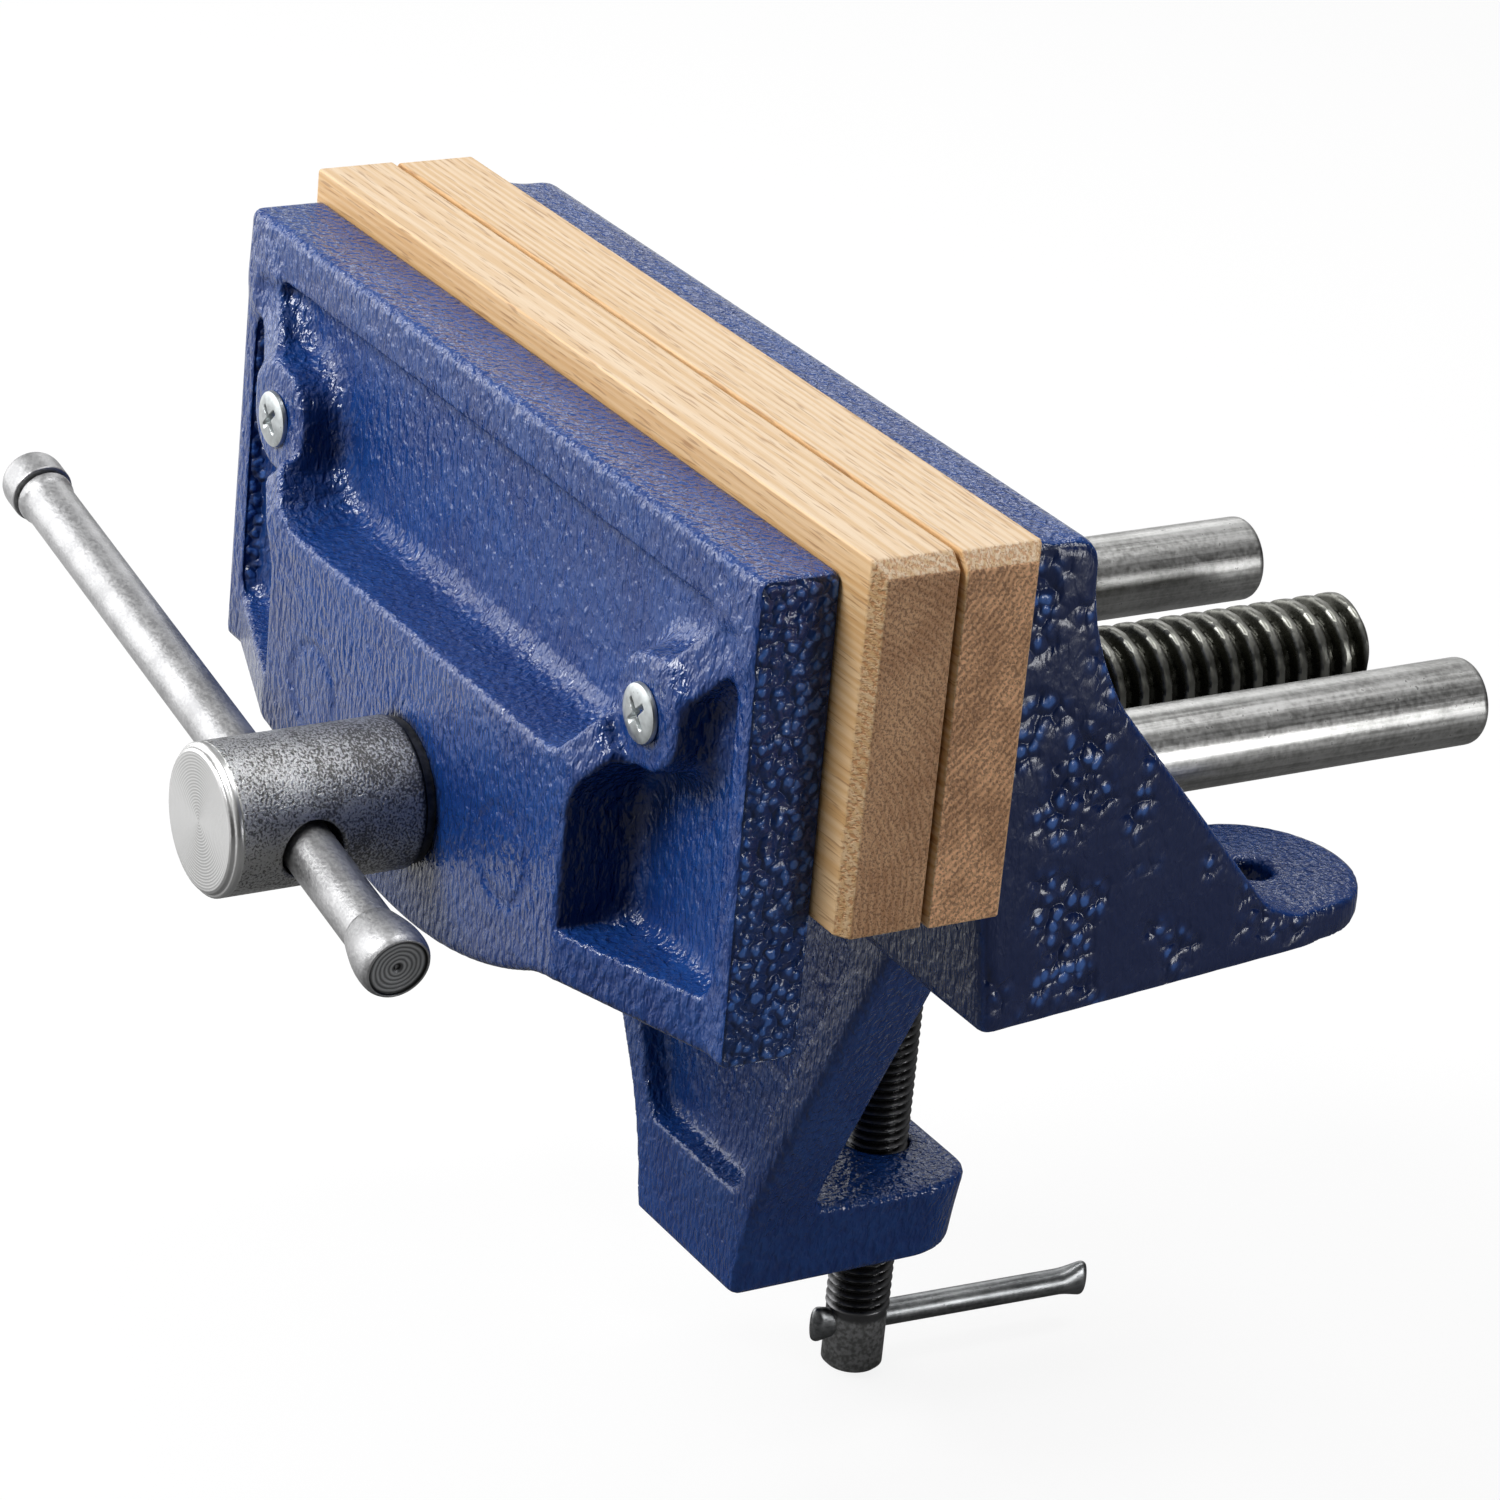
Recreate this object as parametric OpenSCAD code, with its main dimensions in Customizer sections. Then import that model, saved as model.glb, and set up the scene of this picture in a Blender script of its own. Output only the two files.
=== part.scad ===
// Clamp-on woodworking vise with wooden jaw liners, all sizes in millimetres.
// X runs along the jaws, -Y points to the handle and +Z is up.
// The origin lies on the bench top, at the bench edge, in the middle of the jaws.

/* [Jaw castings] */
// Width of both castings along their top edge
jaw_w = 180; // [165:1:215]
// How much wider the front jaw is at its foot
jaw_draft = 3; // [0:0.5:6]
// Height of the castings' top edge above the bench
jaw_top = 84; // [78:1:100]
// Gap left between the two liners at rest
jaw_gap = 0.6; // [0.3:0.1:3]

/* [Front jaw] */
// Thickness of the sunken web of the front jaw
web_t = 10; // [8:0.5:12]
// Thickness of the front jaw at its rim
rim_t = 14; // [13:0.5:17]
// Thickness of the front jaw at its centre plate
plate_t = 24.5; // [22:0.5:30]
// Width of the centre plate
plate_w = 108; // [102:1:114]
// Height of the centre plate's top edge above the bench
plate_top = 40; // [36:1:44]
// Height of the front jaw's lower edge above the bench
front_foot = 1.5; // [0.5:0.5:4]
// Half width of the bulge under the front jaw
bulge_half = 50; // [46:1:54]
// Drop of the bulge under the front jaw
bulge_drop = 12.7; // [10:0.1:16]
// Width of the rim along the top of the front jaw
top_rim = 9.4; // [7:0.1:12]
// Width of the rim at the ends of the front jaw
side_rim = 5; // [4:0.5:8]
// Width of the rim along the bottom of the front jaw
bottom_rim = 9.8; // [6:0.1:11]
// Sideways run of the slope from the rim up to the centre plate
slope_run_x = 26; // [20:1:29]
// Upward run of the slope from the rim up to the centre plate
slope_run_z = 32; // [26:1:34]
// Width of a corner rib where it leaves the centre plate
rib_in_w = 6; // [4:0.5:9]
// Width of a corner rib where it meets the rim
rib_out_w = 11; // [8:0.5:14]
// Diameter of the bosses for the liner screws
boss_d = 19.6; // [16:0.2:22]
// How far the bosses stand proud of the rim
boss_proud = 5; // [3:0.5:7]

/* [Rear jaw] */
// How much wider the rear jaw is at its foot
rear_draft = 8; // [2:0.5:10]
// How far the rear plate's face falls back at its foot
face_relief = 3.2; // [0.5:0.1:5]
// Thickness of the rear jaw's plate
rear_plate_t = 18; // [16:0.5:22]
// Distance of the rear plate's back from the bench edge
plate_setback = 5.5; // [5.5:0.5:10]
// Height on the rear plate where the end walls start to slope
wall_top = 62.4; // [54:0.2:72]
// Length of the end walls' slope, behind the rear plate
wall_run = 48.6; // [44:0.2:52]
// Thickness of the end walls
wall_t = 9; // [7:0.5:12]
// How far the end walls draw in towards the ears
wall_taper = 8.8; // [5:0.1:12]
// Fillet where the end walls run out on the base
wall_fillet = 12; // [6:1:16]
// Thickness of the base and its ears
base_t = 7; // [6:0.5:10]
// How far the guides reach behind the bench edge
guide_reach = 23.5; // [18:0.5:30]
// Wall of the guides around the rods
guide_wall = 6; // [4:0.5:7]
// Width of the open channel behind the nut
channel_w = 25; // [22:0.5:28]
// Radius of the bench ears
ear_r = 18.8; // [15:0.2:20]
// Distance of the ear holes behind the bench edge
ear_y = 50.2; // [46:0.2:58]
// Diameter of the ear holes
ear_hole_d = 8; // [6:0.5:10]

/* [Clamp arm] */
// Thickness of the clamp arm
arm_t = 14.2; // [13:0.2:18]
// Width of the clamp arm at the bench top
arm_root_w = 116.6; // [100:0.2:124]
// Width of the clamp arm at its lower end
arm_tip_w = 36; // [32:1:44]
// Length of the arm's tapering stretch
arm_taper_l = 78; // [68:0.2:84]
// Overall drop of the arm below the bench top
arm_drop = 90.4; // [88:0.2:104]
// Width of the frame left around the arm's front recess
arm_frame = 8; // [6:0.5:10]
// Depth of the arm's front recess
arm_recess = 5; // [2:0.5:7]
// Thickness of the lug that carries the clamp screw
lug_t = 16.4; // [13:0.2:19]
// Metal of the lug beyond the clamp screw's axis
lug_nose = 10.7; // [9:0.1:14]
// Radius of the lug's rear corners
lug_corner = 12; // [6:1:15]
// Height of the sill between the lug and the arm's recess
arm_sill = 4; // [2:0.5:6]

/* [Liners] */
// Thickness of each wooden liner
liner_t = 14.8; // [12:0.2:20]
// How far the liners stand above the castings
liner_proud = 5; // [2:0.5:8]
// How much longer the liners are than the castings
liner_extra = 14.5; // [0:0.5:20]
// Distance of the liners' lower edge above the guide rods
liner_clear = 2.8; // [2.6:0.2:8]
// Sideways offset of the front liner
front_liner_shift = 2.6; // [0:0.1:4]
// Sideways offset of the rear liner
rear_liner_shift = 3.4; // [0:0.1:4]
// Chamfer on the liners' ends
liner_chamfer = 2.5; // [1:0.5:4]
// Inset of the liner screws from the castings' ends
liner_screw_inset = 23.9; // [21:0.1:26]
// Drop of the liner screws below the castings' top edge
liner_screw_drop = 30.7; // [28:0.1:34]
// Shank diameter of the liner screws
liner_screw_d = 4.5; // [3.5:0.1:5.5]
// Head diameter of the liner screws
liner_screw_head_d = 10; // [8:0.2:12]
// Head height of the liner screws
liner_screw_head_h = 3; // [2:0.2:4]
// How deep the liner screws bite into the wood
liner_screw_bite = 11; // [8:0.5:11.5]
// Radius of the liner screws' domed heads
liner_screw_dome = 5.5; // [5:0.1:8]
// Length of the slots of the liner screws' cross recess
recess_l = 5; // [3:0.2:6]
// Width of the slots of the liner screws' cross recess
recess_w = 1.2; // [0.8:0.1:1.6]
// Depth of the liner screws' cross recess
recess_depth = 1.8; // [1:0.1:1.9]

/* [Guide rods] */
// Diameter of the guide rods
rod_d = 16; // [14:0.5:18]
// Spacing of the two guide rods
rod_pitch = 70.2; // [66:0.2:76]
// Height of the guide rods' axes above the bench
rod_z = 15.2; // [14:0.2:20]
// How far the guide rods reach behind the bench edge
rod_reach = 118.2; // [105:0.2:150]
// Chamfer on the back ends of the guide rods
rod_chamfer = 1.5; // [0.5:0.1:2.5]
// Depth of the rods' front ends below the centre plate's face
rod_sunk = 0.4; // [0.2:0.1:1]
// Diameter of the pins that lock the rods
rod_pin_d = 5; // [4:0.5:6]
// Distance of the rod pins from the front jaw's back face
rod_pin_in = 12.5; // [10:0.5:16]
// How far the rod pins enter the rods
rod_pin_bite = 6.8; // [4:0.2:9]
// Depth of the rod pins' lower ends in the casting
rod_pin_sunk = 1.2; // [0.5:0.1:2]

/* [Main screw] */
// Outer diameter of the main screw
screw_d = 20; // [18:0.5:21]
// Depth of the main screw's thread
screw_thread = 2.4; // [1.5:0.1:2.8]
// Pitch of the main screw's thread
screw_pitch = 5; // [4:0.5:6]
// Width of the main screw's thread groove at its root
screw_land = 1.7; // [1:0.1:2]
// Width of each flank of the main screw's thread
screw_flank = 0.8; // [0.4:0.1:0.9]
// Plain length of the main screw between the collar and the thread
screw_plain = 4.8; // [3:0.2:8]
// Drop of the main screw's axis below the rods' axes
screw_drop = 3.4; // [1:0.2:3.6]
// How far the main screw reaches behind the bench edge
screw_reach = 117.5; // [105:0.5:150]
// Diameter of the screw head
head_d = 26.2; // [24:0.2:30]
// Length of the screw head
head_l = 35.8; // [33:0.2:44]
// Chamfer on the screw head's front
head_chamfer = 1.7; // [0.5:0.1:3]
// Diameter of the spigot that holds the head
spigot_d = 16; // [12:0.5:17]
// Metal left between the spigot and the handle hole
spigot_floor = 2.6; // [1.5:0.1:4]
// Distance of the handle hole from the head's front face
handle_hole_in = 15; // [12:0.5:18]
// Outer diameter of the thrust washer
washer_d = 25; // [23:0.5:30]
// Thickness of the thrust washer
washer_t = 1.5; // [1:0.1:2.5]
// Outer diameter of the retaining collar
collar_d = 26; // [24:0.5:27]
// Width of the retaining collar
collar_w = 8; // [6:0.5:11]
// Diameter of the pin through the collar
collar_pin_d = 4; // [3:0.5:5]
// Length of the pin through the collar
collar_pin_l = 24; // [21:0.5:24]

/* [Spindle nut] */
// Diameter of the nut's front sleeve
nut_d = 24; // [23:0.5:27]
// Diameter of the nut's flange
nut_flange_d = 32; // [29:0.5:36]
// Thickness of the nut's flange
nut_flange_t = 12; // [8:0.5:12.5]
// Wall of the casting around the nut's sleeve
nut_wall = 3.5; // [3:0.5:6]
// Diameter of the nut's lock screw
lock_d = 5; // [4:0.5:6]
// Length of the nut's lock screw
lock_l = 8; // [6:0.5:12]
// Width of the lock screw's hexagonal socket
lock_socket = 2.5; // [1.5:0.1:3]
// Wall of the boss around the lock screw
lock_wall = 5; // [4:0.5:7]

/* [Handle] */
// Diameter of the handle bar
bar_d = 9.3; // [8:0.1:10]
// Length of the bar on the far side of the screw's axis
bar_far = 109; // [90:1:130]
// Length of the bar on the near side of the screw's axis
bar_near = 45.4; // [40:0.2:60]
// Angle at which the handle rests
bar_angle = 10.2; // [0:0.1:20]
// Diameter of the handle hole through the head
bar_hole_d = 11; // [10.6:0.1:11.2]
// Diameter of the forged knob
knob_d = 12.5; // [12:0.1:15]
// Length of the forged knob
knob_l = 10.5; // [8:0.5:14]
// Length of the flare from the bar to the knob
knob_flare = 4.7; // [3:0.1:4.8]
// Length of the knob's tapered end
knob_round = 3.1; // [1.6:0.1:3.1]
// Chamfer on the knob's end
knob_edge = 1.5; // [0.5:0.1:2.5]
// Diameter of the pressed cap
cap_d = 11.4; // [11.3:0.1:13]
// Length of the pressed cap
cap_l = 7.3; // [6:0.1:10]
// Radius of the pressed cap's rounded end
cap_dome = 3.4; // [2:0.1:4]
// Open joint between the cap and the bar
cap_gap = 0.6; // [0.3:0.1:0.9]
// Diameter of the bar's tenon in the cap
tenon_d = 6; // [4:0.2:7]
// Length of the bar's tenon in the cap
tenon_l = 5; // [3:0.2:5.5]

/* [Clamp] */
// Room between the base and the clamp pad at rest
throat = 24; // [12:1:30]
// Distance of the clamp screw behind the bench edge
clamp_y = 25.2; // [20:0.2:30]
// Outer diameter of the clamp screw
clamp_d = 12; // [10:0.5:13]
// Pitch of the clamp screw's thread
clamp_pitch = 1.75; // [1.25:0.25:2.5]
// Depth of the clamp screw's thread
clamp_thread = 1.07; // [0.7:0.01:1.3]
// Half width of the clamp screw's thread crests
clamp_crest = 0.22; // [0.1:0.02:0.4]
// Length of the clamp screw below its shoulder
clamp_l = 84.2; // [80:0.2:100]
// Length of the plain lower end of the clamp screw
clamp_plain_l = 12.6; // [11:0.2:15]
// How much thinner the plain lower end is
clamp_plain_cut = 0.5; // [0.2:0.1:1]
// Chamfer on the clamp screw's lower end
clamp_chamfer = 0.7; // [0.3:0.1:1.5]
// Diameter of the clamp screw's spigot in the pad
clamp_spigot_d = 8.8; // [6:0.2:9.4]
// Diameter of the clamp pad
pad_d = 32; // [26:1:40]
// Thickness of the clamp pad
pad_t = 7; // [5:0.5:9]
// Diameter of the boss under the clamp pad
pad_boss_d = 20; // [15:0.5:24]
// Height of the boss under the clamp pad
pad_boss_h = 6; // [4:0.5:8]
// Metal left above the spigot in the clamp pad
pad_roof = 4; // [2:0.5:4.5]
// Diameter of the tommy bar
tommy_d = 5; // [4:0.1:6]
// Height of the tommy bar above the clamp screw's lower end
tommy_up = 9; // [7:0.1:9.4]
// Length of the tommy bar on the short side
tommy_short = 9.4; // [9:0.1:14]
// Length of the tommy bar on the long side
tommy_long = 49.5; // [40:0.5:60]
// Angle at which the tommy bar rests
tommy_angle = 3.5; // [0:0.5:20]
// Width of the tommy bar's flattened ends
tommy_end_w = 7.4; // [7.2:0.1:9]
// Thickness of the tommy bar's flattened ends
tommy_end_t = 3.6; // [2.5:0.1:3.9]
// Length of the tommy bar's flattened ends
tommy_end_l = 2.6; // [1.5:0.1:2.8]

/* [Fits] */
// Clearance of pieces that are fixed in each other
fit_gap = 0.02; // [0.01:0.01:0.05]
// Radial clearance of shafts that slide or turn
run_gap = 0.06; // [0.03:0.01:0.1]
// Gap at shoulders that turn against each other
end_play = 0.1; // [0.05:0.05:0.3]
// Gap under bars that lie loose in their holes
lie_gap = 0.3; // [0.2:0.05:0.5]

/* [Hidden] */
$fn = 72;
over = 1;
tuck = 0.05;
half_w = jaw_w / 2;
foot_half = half_w + jaw_draft / 2;
rear_half = half_w + rear_draft / 2;

// Planes along Y, from the bench edge towards the handle
plate_back_y = -plate_setback;
plate_front_y = plate_back_y - rear_plate_t;
rear_liner_y = plate_front_y - liner_t;
front_liner_y = rear_liner_y - jaw_gap;
front_back_y = front_liner_y - liner_t;
floor_y = front_back_y - web_t;
rim_y = front_back_y - rim_t;
face_y = front_back_y - plate_t;
boss_y = rim_y - boss_proud;
washer_y = face_y - end_play;
head_back_y = washer_y - washer_t - end_play;
head_front_y = head_back_y - head_l;
bar_y = head_front_y + handle_hole_in;
collar_y = front_back_y + end_play;
rod_pin_y = front_back_y - rod_pin_in;
nut_front_y = plate_front_y + face_relief;
nut_flange_y = -nut_flange_t;
lock_y = plate_back_y + lock_d / 2 + lie_gap;

// Heights
screw_z = rod_z - screw_drop;
liner_bottom = rod_z + rod_d / 2 + liner_clear;
liner_top = jaw_top + liner_proud;
liner_screw_z = jaw_top - liner_screw_drop;
bulge_r = (bulge_half * bulge_half + bulge_drop * bulge_drop) / (2 * bulge_drop);
bulge_z = front_foot - bulge_drop + bulge_r;
lug_top = lug_t - arm_drop;
pad_top = -throat;
pad_bottom = pad_top - pad_t - pad_boss_h;
shoulder_z = pad_bottom - 2 * end_play;
clamp_bottom = shoulder_z - clamp_l;
plain_z = clamp_bottom + clamp_plain_l;
tommy_z = clamp_bottom + tommy_up;
lock_top = screw_z + nut_flange_d / 2 + fit_gap + lock_l;

// Places along X
rod_x = rod_pitch / 2;
liner_screw_x = half_w - liner_screw_inset;
liner_l = jaw_w + liner_extra;
ear_x = rear_half - wall_taper - ear_r;
outer_x = ear_x + ear_r - tuck;
pocket_x = half_w - side_rim;
pocket_top = jaw_top - top_rim;
plate_half = plate_w / 2;

// Radii and fits
rod_r = rod_d / 2;
screw_r = screw_d / 2;
screw_root_r = screw_r - screw_thread;
spigot_r = spigot_d / 2;
spigot_l = head_l - handle_hole_in - bar_hole_d / 2 - spigot_floor;
bar_r = bar_d / 2;
bar_sink = bar_hole_d / 2 - bar_r - lie_gap;
tommy_hole_r = tommy_d / 2 + lie_gap;
clamp_r = clamp_d / 2;
clamp_root_r = clamp_r - clamp_thread;
clamp_plain_r = clamp_r - clamp_plain_cut / 2;
clamp_spigot_r = clamp_spigot_d / 2;
liner_screw_r = liner_screw_d / 2;

enamel = [0.17, 0.25, 0.55];
tan_wood = [0.78, 0.62, 0.44];
bright_steel = [0.72, 0.72, 0.73];
grey_steel = [0.5, 0.5, 0.5];
dark_steel = [0.25, 0.25, 0.22];
zinc = [0.78, 0.78, 0.8];
black_steel = [0.12, 0.12, 0.12];

// Helpers

module along_x(x0, x1) {
    translate([x0, 0, 0]) rotate([90, 0, 90]) linear_extrude(x1 - x0) children();
}

module along_y(y0, y1) {
    translate([0, y1, 0]) rotate([90, 0, 0]) linear_extrude(y1 - y0) children();
}

module along_z(z0, z1) {
    translate([0, 0, z0]) linear_extrude(z1 - z0) children();
}

module y_cyl(x, z, r, y0, y1) {
    translate([x, y1, z]) rotate([90, 0, 0]) cylinder(r = r, h = y1 - y0);
}

module z_cyl(x, y, r, z0, z1) {
    translate([x, y, z0]) cylinder(r = r, h = z1 - z0);
}

module both_ends() {
    children();
    mirror([1, 0, 0]) children();
}

// Front view of a casting, tapering from its foot up to its top edge
module casting_outline(foot_x, foot_z) {
    polygon([[-foot_x, foot_z], [foot_x, foot_z], [half_w, jaw_top], [-half_w, jaw_top]]);
}

// Front jaw

module bulge_2d() {
    intersection() {
        translate([0, bulge_z]) circle(r = bulge_r, $fn = 180);
        translate([-bulge_half, front_foot - bulge_drop - over])
            square([2 * bulge_half, bulge_drop + 2 * over]);
    }
}

// Strip that widens from the plate's top corner out to the rim's corner
module rib_2d() {
    run = [pocket_x - plate_half, pocket_top - plate_top];
    dir = run / norm(run);
    side = [-dir[1], dir[0]];
    root = [plate_half, plate_top] - dir * rib_in_w;
    tip = [pocket_x, pocket_top] + dir * rib_out_w;
    polygon([root - side * rib_in_w / 2, tip - side * rib_out_w / 2,
        tip + side * rib_out_w / 2, root + side * rib_in_w / 2]);
}

module plate_2d() {
    translate([-plate_half, front_foot]) square([plate_w, plate_top - front_foot]);
    bulge_2d();
}

module pocket_2d() {
    foot_z = front_foot + bottom_rim;
    polygon([[-pocket_x, foot_z], [pocket_x, foot_z], [pocket_x, pocket_top], [-pocket_x, pocket_top]]);
}

// Centre plate with its corner ribs, sloping down to the rim at the ends and at the top
module raised_centre() {
    slope_x = plate_half + slope_run_x;
    slope_z = plate_top + slope_run_z;
    intersection() {
        along_y(face_y, front_back_y) {
            plate_2d();
            both_ends() rib_2d();
        }
        along_z(front_foot - bulge_drop - over, jaw_top)
            polygon([[-plate_half, face_y], [plate_half, face_y], [slope_x, rim_y], [slope_x, front_back_y],
                [-slope_x, front_back_y], [-slope_x, rim_y]]);
        along_x(-half_w, half_w)
            polygon([[face_y, front_foot - bulge_drop - over], [face_y, plate_top], [rim_y, slope_z],
                [rim_y, jaw_top], [front_back_y, jaw_top], [front_back_y, front_foot - bulge_drop - over]]);
    }
}

// Band under a side pocket, sloping from the centre plate's face out to the rim
module foot_band() {
    along_z(front_foot, front_foot + bottom_rim)
        polygon([[plate_half - over, face_y + over], [plate_half, face_y], [pocket_x, rim_y],
            [pocket_x, floor_y], [plate_half - over, floor_y]]);
}

module front_jaw() {
    color(enamel) difference() {
        union() {
            difference() {
                along_y(rim_y, front_back_y) casting_outline(foot_half, front_foot);
                along_y(rim_y - over, floor_y) pocket_2d();
            }
            both_ends() foot_band();
            difference() {
                raised_centre();
                both_ends() y_cyl(liner_screw_x, liner_screw_z, boss_d / 2, face_y - over, boss_y);
            }
            both_ends() y_cyl(liner_screw_x, liner_screw_z, boss_d / 2, boss_y, front_back_y - web_t / 2);
        }
        y_cyl(0, screw_z, screw_r + run_gap, face_y - over, front_back_y + over);
        both_ends() {
            y_cyl(rod_x, rod_z, rod_r + fit_gap, face_y - over, front_back_y + over);
            y_cyl(liner_screw_x, liner_screw_z, liner_screw_r + fit_gap, boss_y - over, front_back_y + over);
            z_cyl(rod_x, rod_pin_y, rod_pin_d / 2 + fit_gap, front_foot - bulge_drop - over, rod_z);
        }
    }
}

// Rear jaw

module wall_2d() {
    slope = atan2(wall_top - base_t, wall_run);
    toe = plate_back_y + wall_run;
    reach = wall_fillet * tan(slope / 2);
    polygon([[plate_front_y, 0], [plate_front_y, jaw_top], [plate_back_y, jaw_top], [plate_back_y, wall_top],
        [toe, base_t], [ear_y, base_t], [ear_y, 0]]);
    difference() {
        polygon([[toe - reach * cos(slope), base_t + reach * sin(slope)], [toe - reach, base_t / 2],
            [toe + reach, base_t / 2], [toe + reach, base_t]]);
        translate([toe + reach, base_t + wall_fillet]) circle(r = wall_fillet + tuck);
    }
}

module end_wall() {
    intersection() {
        along_x(outer_x - 2 * wall_t, rear_half + over) wall_2d();
        along_z(0, jaw_top) polygon([[rear_half + over, plate_front_y], [outer_x + over, ear_y],
            [outer_x - wall_t, ear_y], [rear_half - wall_t, plate_front_y]]);
    }
}

// Plan view of the upper casting, drawn in towards the ears
module plan_2d() {
    lean = over * (rear_half - outer_x) / (ear_y - plate_front_y);
    front_x = rear_half + lean;
    back_x = outer_x - lean;
    polygon([[-front_x, plate_front_y - over], [front_x, plate_front_y - over],
        [back_x, ear_y + over], [-back_x, ear_y + over]]);
}

// Right half of the base, its side edge buried in the end wall
module base_2d() {
    inner = ear_x - ear_r;
    polygon([[0, plate_front_y], [rear_half - wall_t / 2, plate_front_y], [ear_x + ear_r - wall_t / 2, ear_y],
        [inner, ear_y], [inner, guide_reach], [0, guide_reach]]);
    translate([ear_x, ear_y]) circle(r = ear_r);
}

module guide_2d() {
    intersection() {
        translate([rod_x, rod_z]) circle(r = rod_r + guide_wall);
        translate([0, 0]) square([half_w, jaw_top]);
    }
}

module arm_2d(inset, top) {
    root = arm_root_w / 2;
    tip = arm_tip_w / 2;
    lean = inset * norm([root - tip, arm_taper_l]) / arm_taper_l;
    slope = (root - tip) / arm_taper_l;
    top_x = root - lean + slope * min(top, 0);
    low_x = tip - inset;
    bend_z = -arm_taper_l + (low_x - (tip - lean)) / slope;
    low_z = inset > 0 ? lug_top + arm_sill : -arm_drop;
    polygon([[-top_x, top], [top_x, top], [low_x, max(bend_z, low_z)], [low_x, low_z],
        [-low_x, low_z], [-low_x, max(bend_z, low_z)]]);
}

module lug_2d() {
    corner_x = arm_tip_w / 2 - lug_corner;
    corner_y = clamp_y + lug_nose - lug_corner;
    translate([-arm_tip_w / 2, -arm_t]) square([arm_tip_w, corner_y + arm_t]);
    translate([-corner_x, -arm_t]) square([2 * corner_x, clamp_y + lug_nose + arm_t]);
    for (side = [-1, 1]) translate([side * corner_x, corner_y]) circle(r = lug_corner);
}

module rear_jaw_casting() {
    intersection() {
        union() {
            along_y(plate_front_y, plate_back_y) casting_outline(rear_half, 0);
            both_ends() end_wall();
        }
        along_y(plate_front_y, ear_y) casting_outline(rear_half, 0);
        along_z(-over, jaw_top + over) plan_2d();
    }
    both_ends() {
        along_z(0, base_t) base_2d();
        along_y(plate_front_y, guide_reach) guide_2d();
    }
    y_cyl(0, screw_z, nut_d / 2 + nut_wall, nut_front_y, -arm_t / 2);
    y_cyl(0, screw_z, nut_flange_d / 2 + nut_wall, -arm_t, 0);
    along_y(plate_back_y - rear_plate_t / 2, lock_y + lock_d / 2 + lock_wall)
        translate([-lock_d / 2 - lock_wall, lock_top - lock_l - nut_wall / 2])
            square([lock_d + 2 * lock_wall, lock_l + nut_wall / 2]);
    along_y(-arm_t, 0) arm_2d(0, base_t / 2);
    along_z(-arm_drop, lug_top) lug_2d();
}

module rear_jaw() {
    color(enamel) difference() {
        rear_jaw_casting();
        along_x(-rear_half - over, rear_half + over)
            polygon([[plate_front_y - over, liner_bottom], [plate_front_y, liner_bottom], [nut_front_y, 0],
                [nut_front_y, -over], [plate_front_y - over, -over]]);
        translate([-channel_w / 2, 0, -over]) cube([channel_w, guide_reach + over, base_t + 2 * over]);
        along_y(-arm_t - over, arm_recess - arm_t) arm_2d(arm_frame, -arm_frame);
        y_cyl(0, screw_z, nut_d / 2 + fit_gap, plate_front_y - over, nut_flange_y + over);
        y_cyl(0, screw_z, nut_flange_d / 2 + fit_gap, nut_flange_y, over);
        z_cyl(0, lock_y, lock_d / 2 + fit_gap, screw_z, lock_top + over);
        z_cyl(0, clamp_y, clamp_r + run_gap, -arm_drop - over, lug_top + over);
        both_ends() {
            y_cyl(rod_x, rod_z, rod_r + run_gap, plate_front_y - over, guide_reach + over);
            y_cyl(liner_screw_x, liner_screw_z, liner_screw_r + fit_gap,
                plate_front_y - over, plate_back_y + over);
            z_cyl(ear_x, ear_y, ear_hole_d / 2, -over, base_t + over);
        }
    }
}

// Liners and their screws

// Board with chamfered top ends, and chamfered end edges on the side away from the joint
module liner(y0, y1, joint_low, shift) {
    end = liner_l / 2;
    cut = liner_chamfer;
    low_cut = joint_low ? 0 : cut;
    high_cut = joint_low ? cut : 0;
    translate([shift, 0, 0]) intersection() {
        along_y(y0, y1) polygon([[-end, liner_bottom], [end, liner_bottom], [end, liner_top - cut],
            [end - cut, liner_top], [cut - end, liner_top], [-end, liner_top - cut]]);
        along_z(liner_bottom, liner_top) polygon([[low_cut - end, y0], [end - low_cut, y0],
            [end, y0 + low_cut], [end, y1 - high_cut], [end - high_cut, y1], [high_cut - end, y1],
            [-end, y1 - high_cut], [-end, y0 + low_cut]]);
    }
}

module front_liner() {
    color(tan_wood) difference() {
        liner(front_back_y, front_liner_y, false, front_liner_shift);
        both_ends() y_cyl(liner_screw_x, liner_screw_z, liner_screw_r + fit_gap,
            front_back_y - over, front_back_y + liner_screw_bite + fit_gap);
    }
}

module rear_liner() {
    color(tan_wood) difference() {
        liner(rear_liner_y, plate_front_y, true, rear_liner_shift);
        both_ends() y_cyl(liner_screw_x, liner_screw_z, liner_screw_r + fit_gap,
            plate_front_y - liner_screw_bite - fit_gap, plate_front_y + over);
    }
}

// Round-headed wood screw along +Z, with its head's seat at the origin and a cross recess
module wood_screw(grip) {
    head_r = liner_screw_head_d / 2;
    difference() {
        union() {
            cylinder(r = liner_screw_r, h = grip + liner_screw_bite);
            intersection() {
                translate([0, 0, -liner_screw_head_h]) cylinder(r = head_r, h = liner_screw_head_h);
                translate([0, 0, liner_screw_dome - liner_screw_head_h]) sphere(r = liner_screw_dome);
            }
        }
        for (turn = [0, 90]) rotate([0, 0, turn])
            translate([-recess_l / 2, -recess_w / 2, -liner_screw_head_h - over])
                cube([recess_l, recess_w, over + recess_depth]);
    }
}

module front_liner_screws() {
    color(zinc) both_ends() translate([liner_screw_x, boss_y, liner_screw_z])
        rotate([-90, 0, 0]) wood_screw(front_back_y - boss_y);
}

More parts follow.
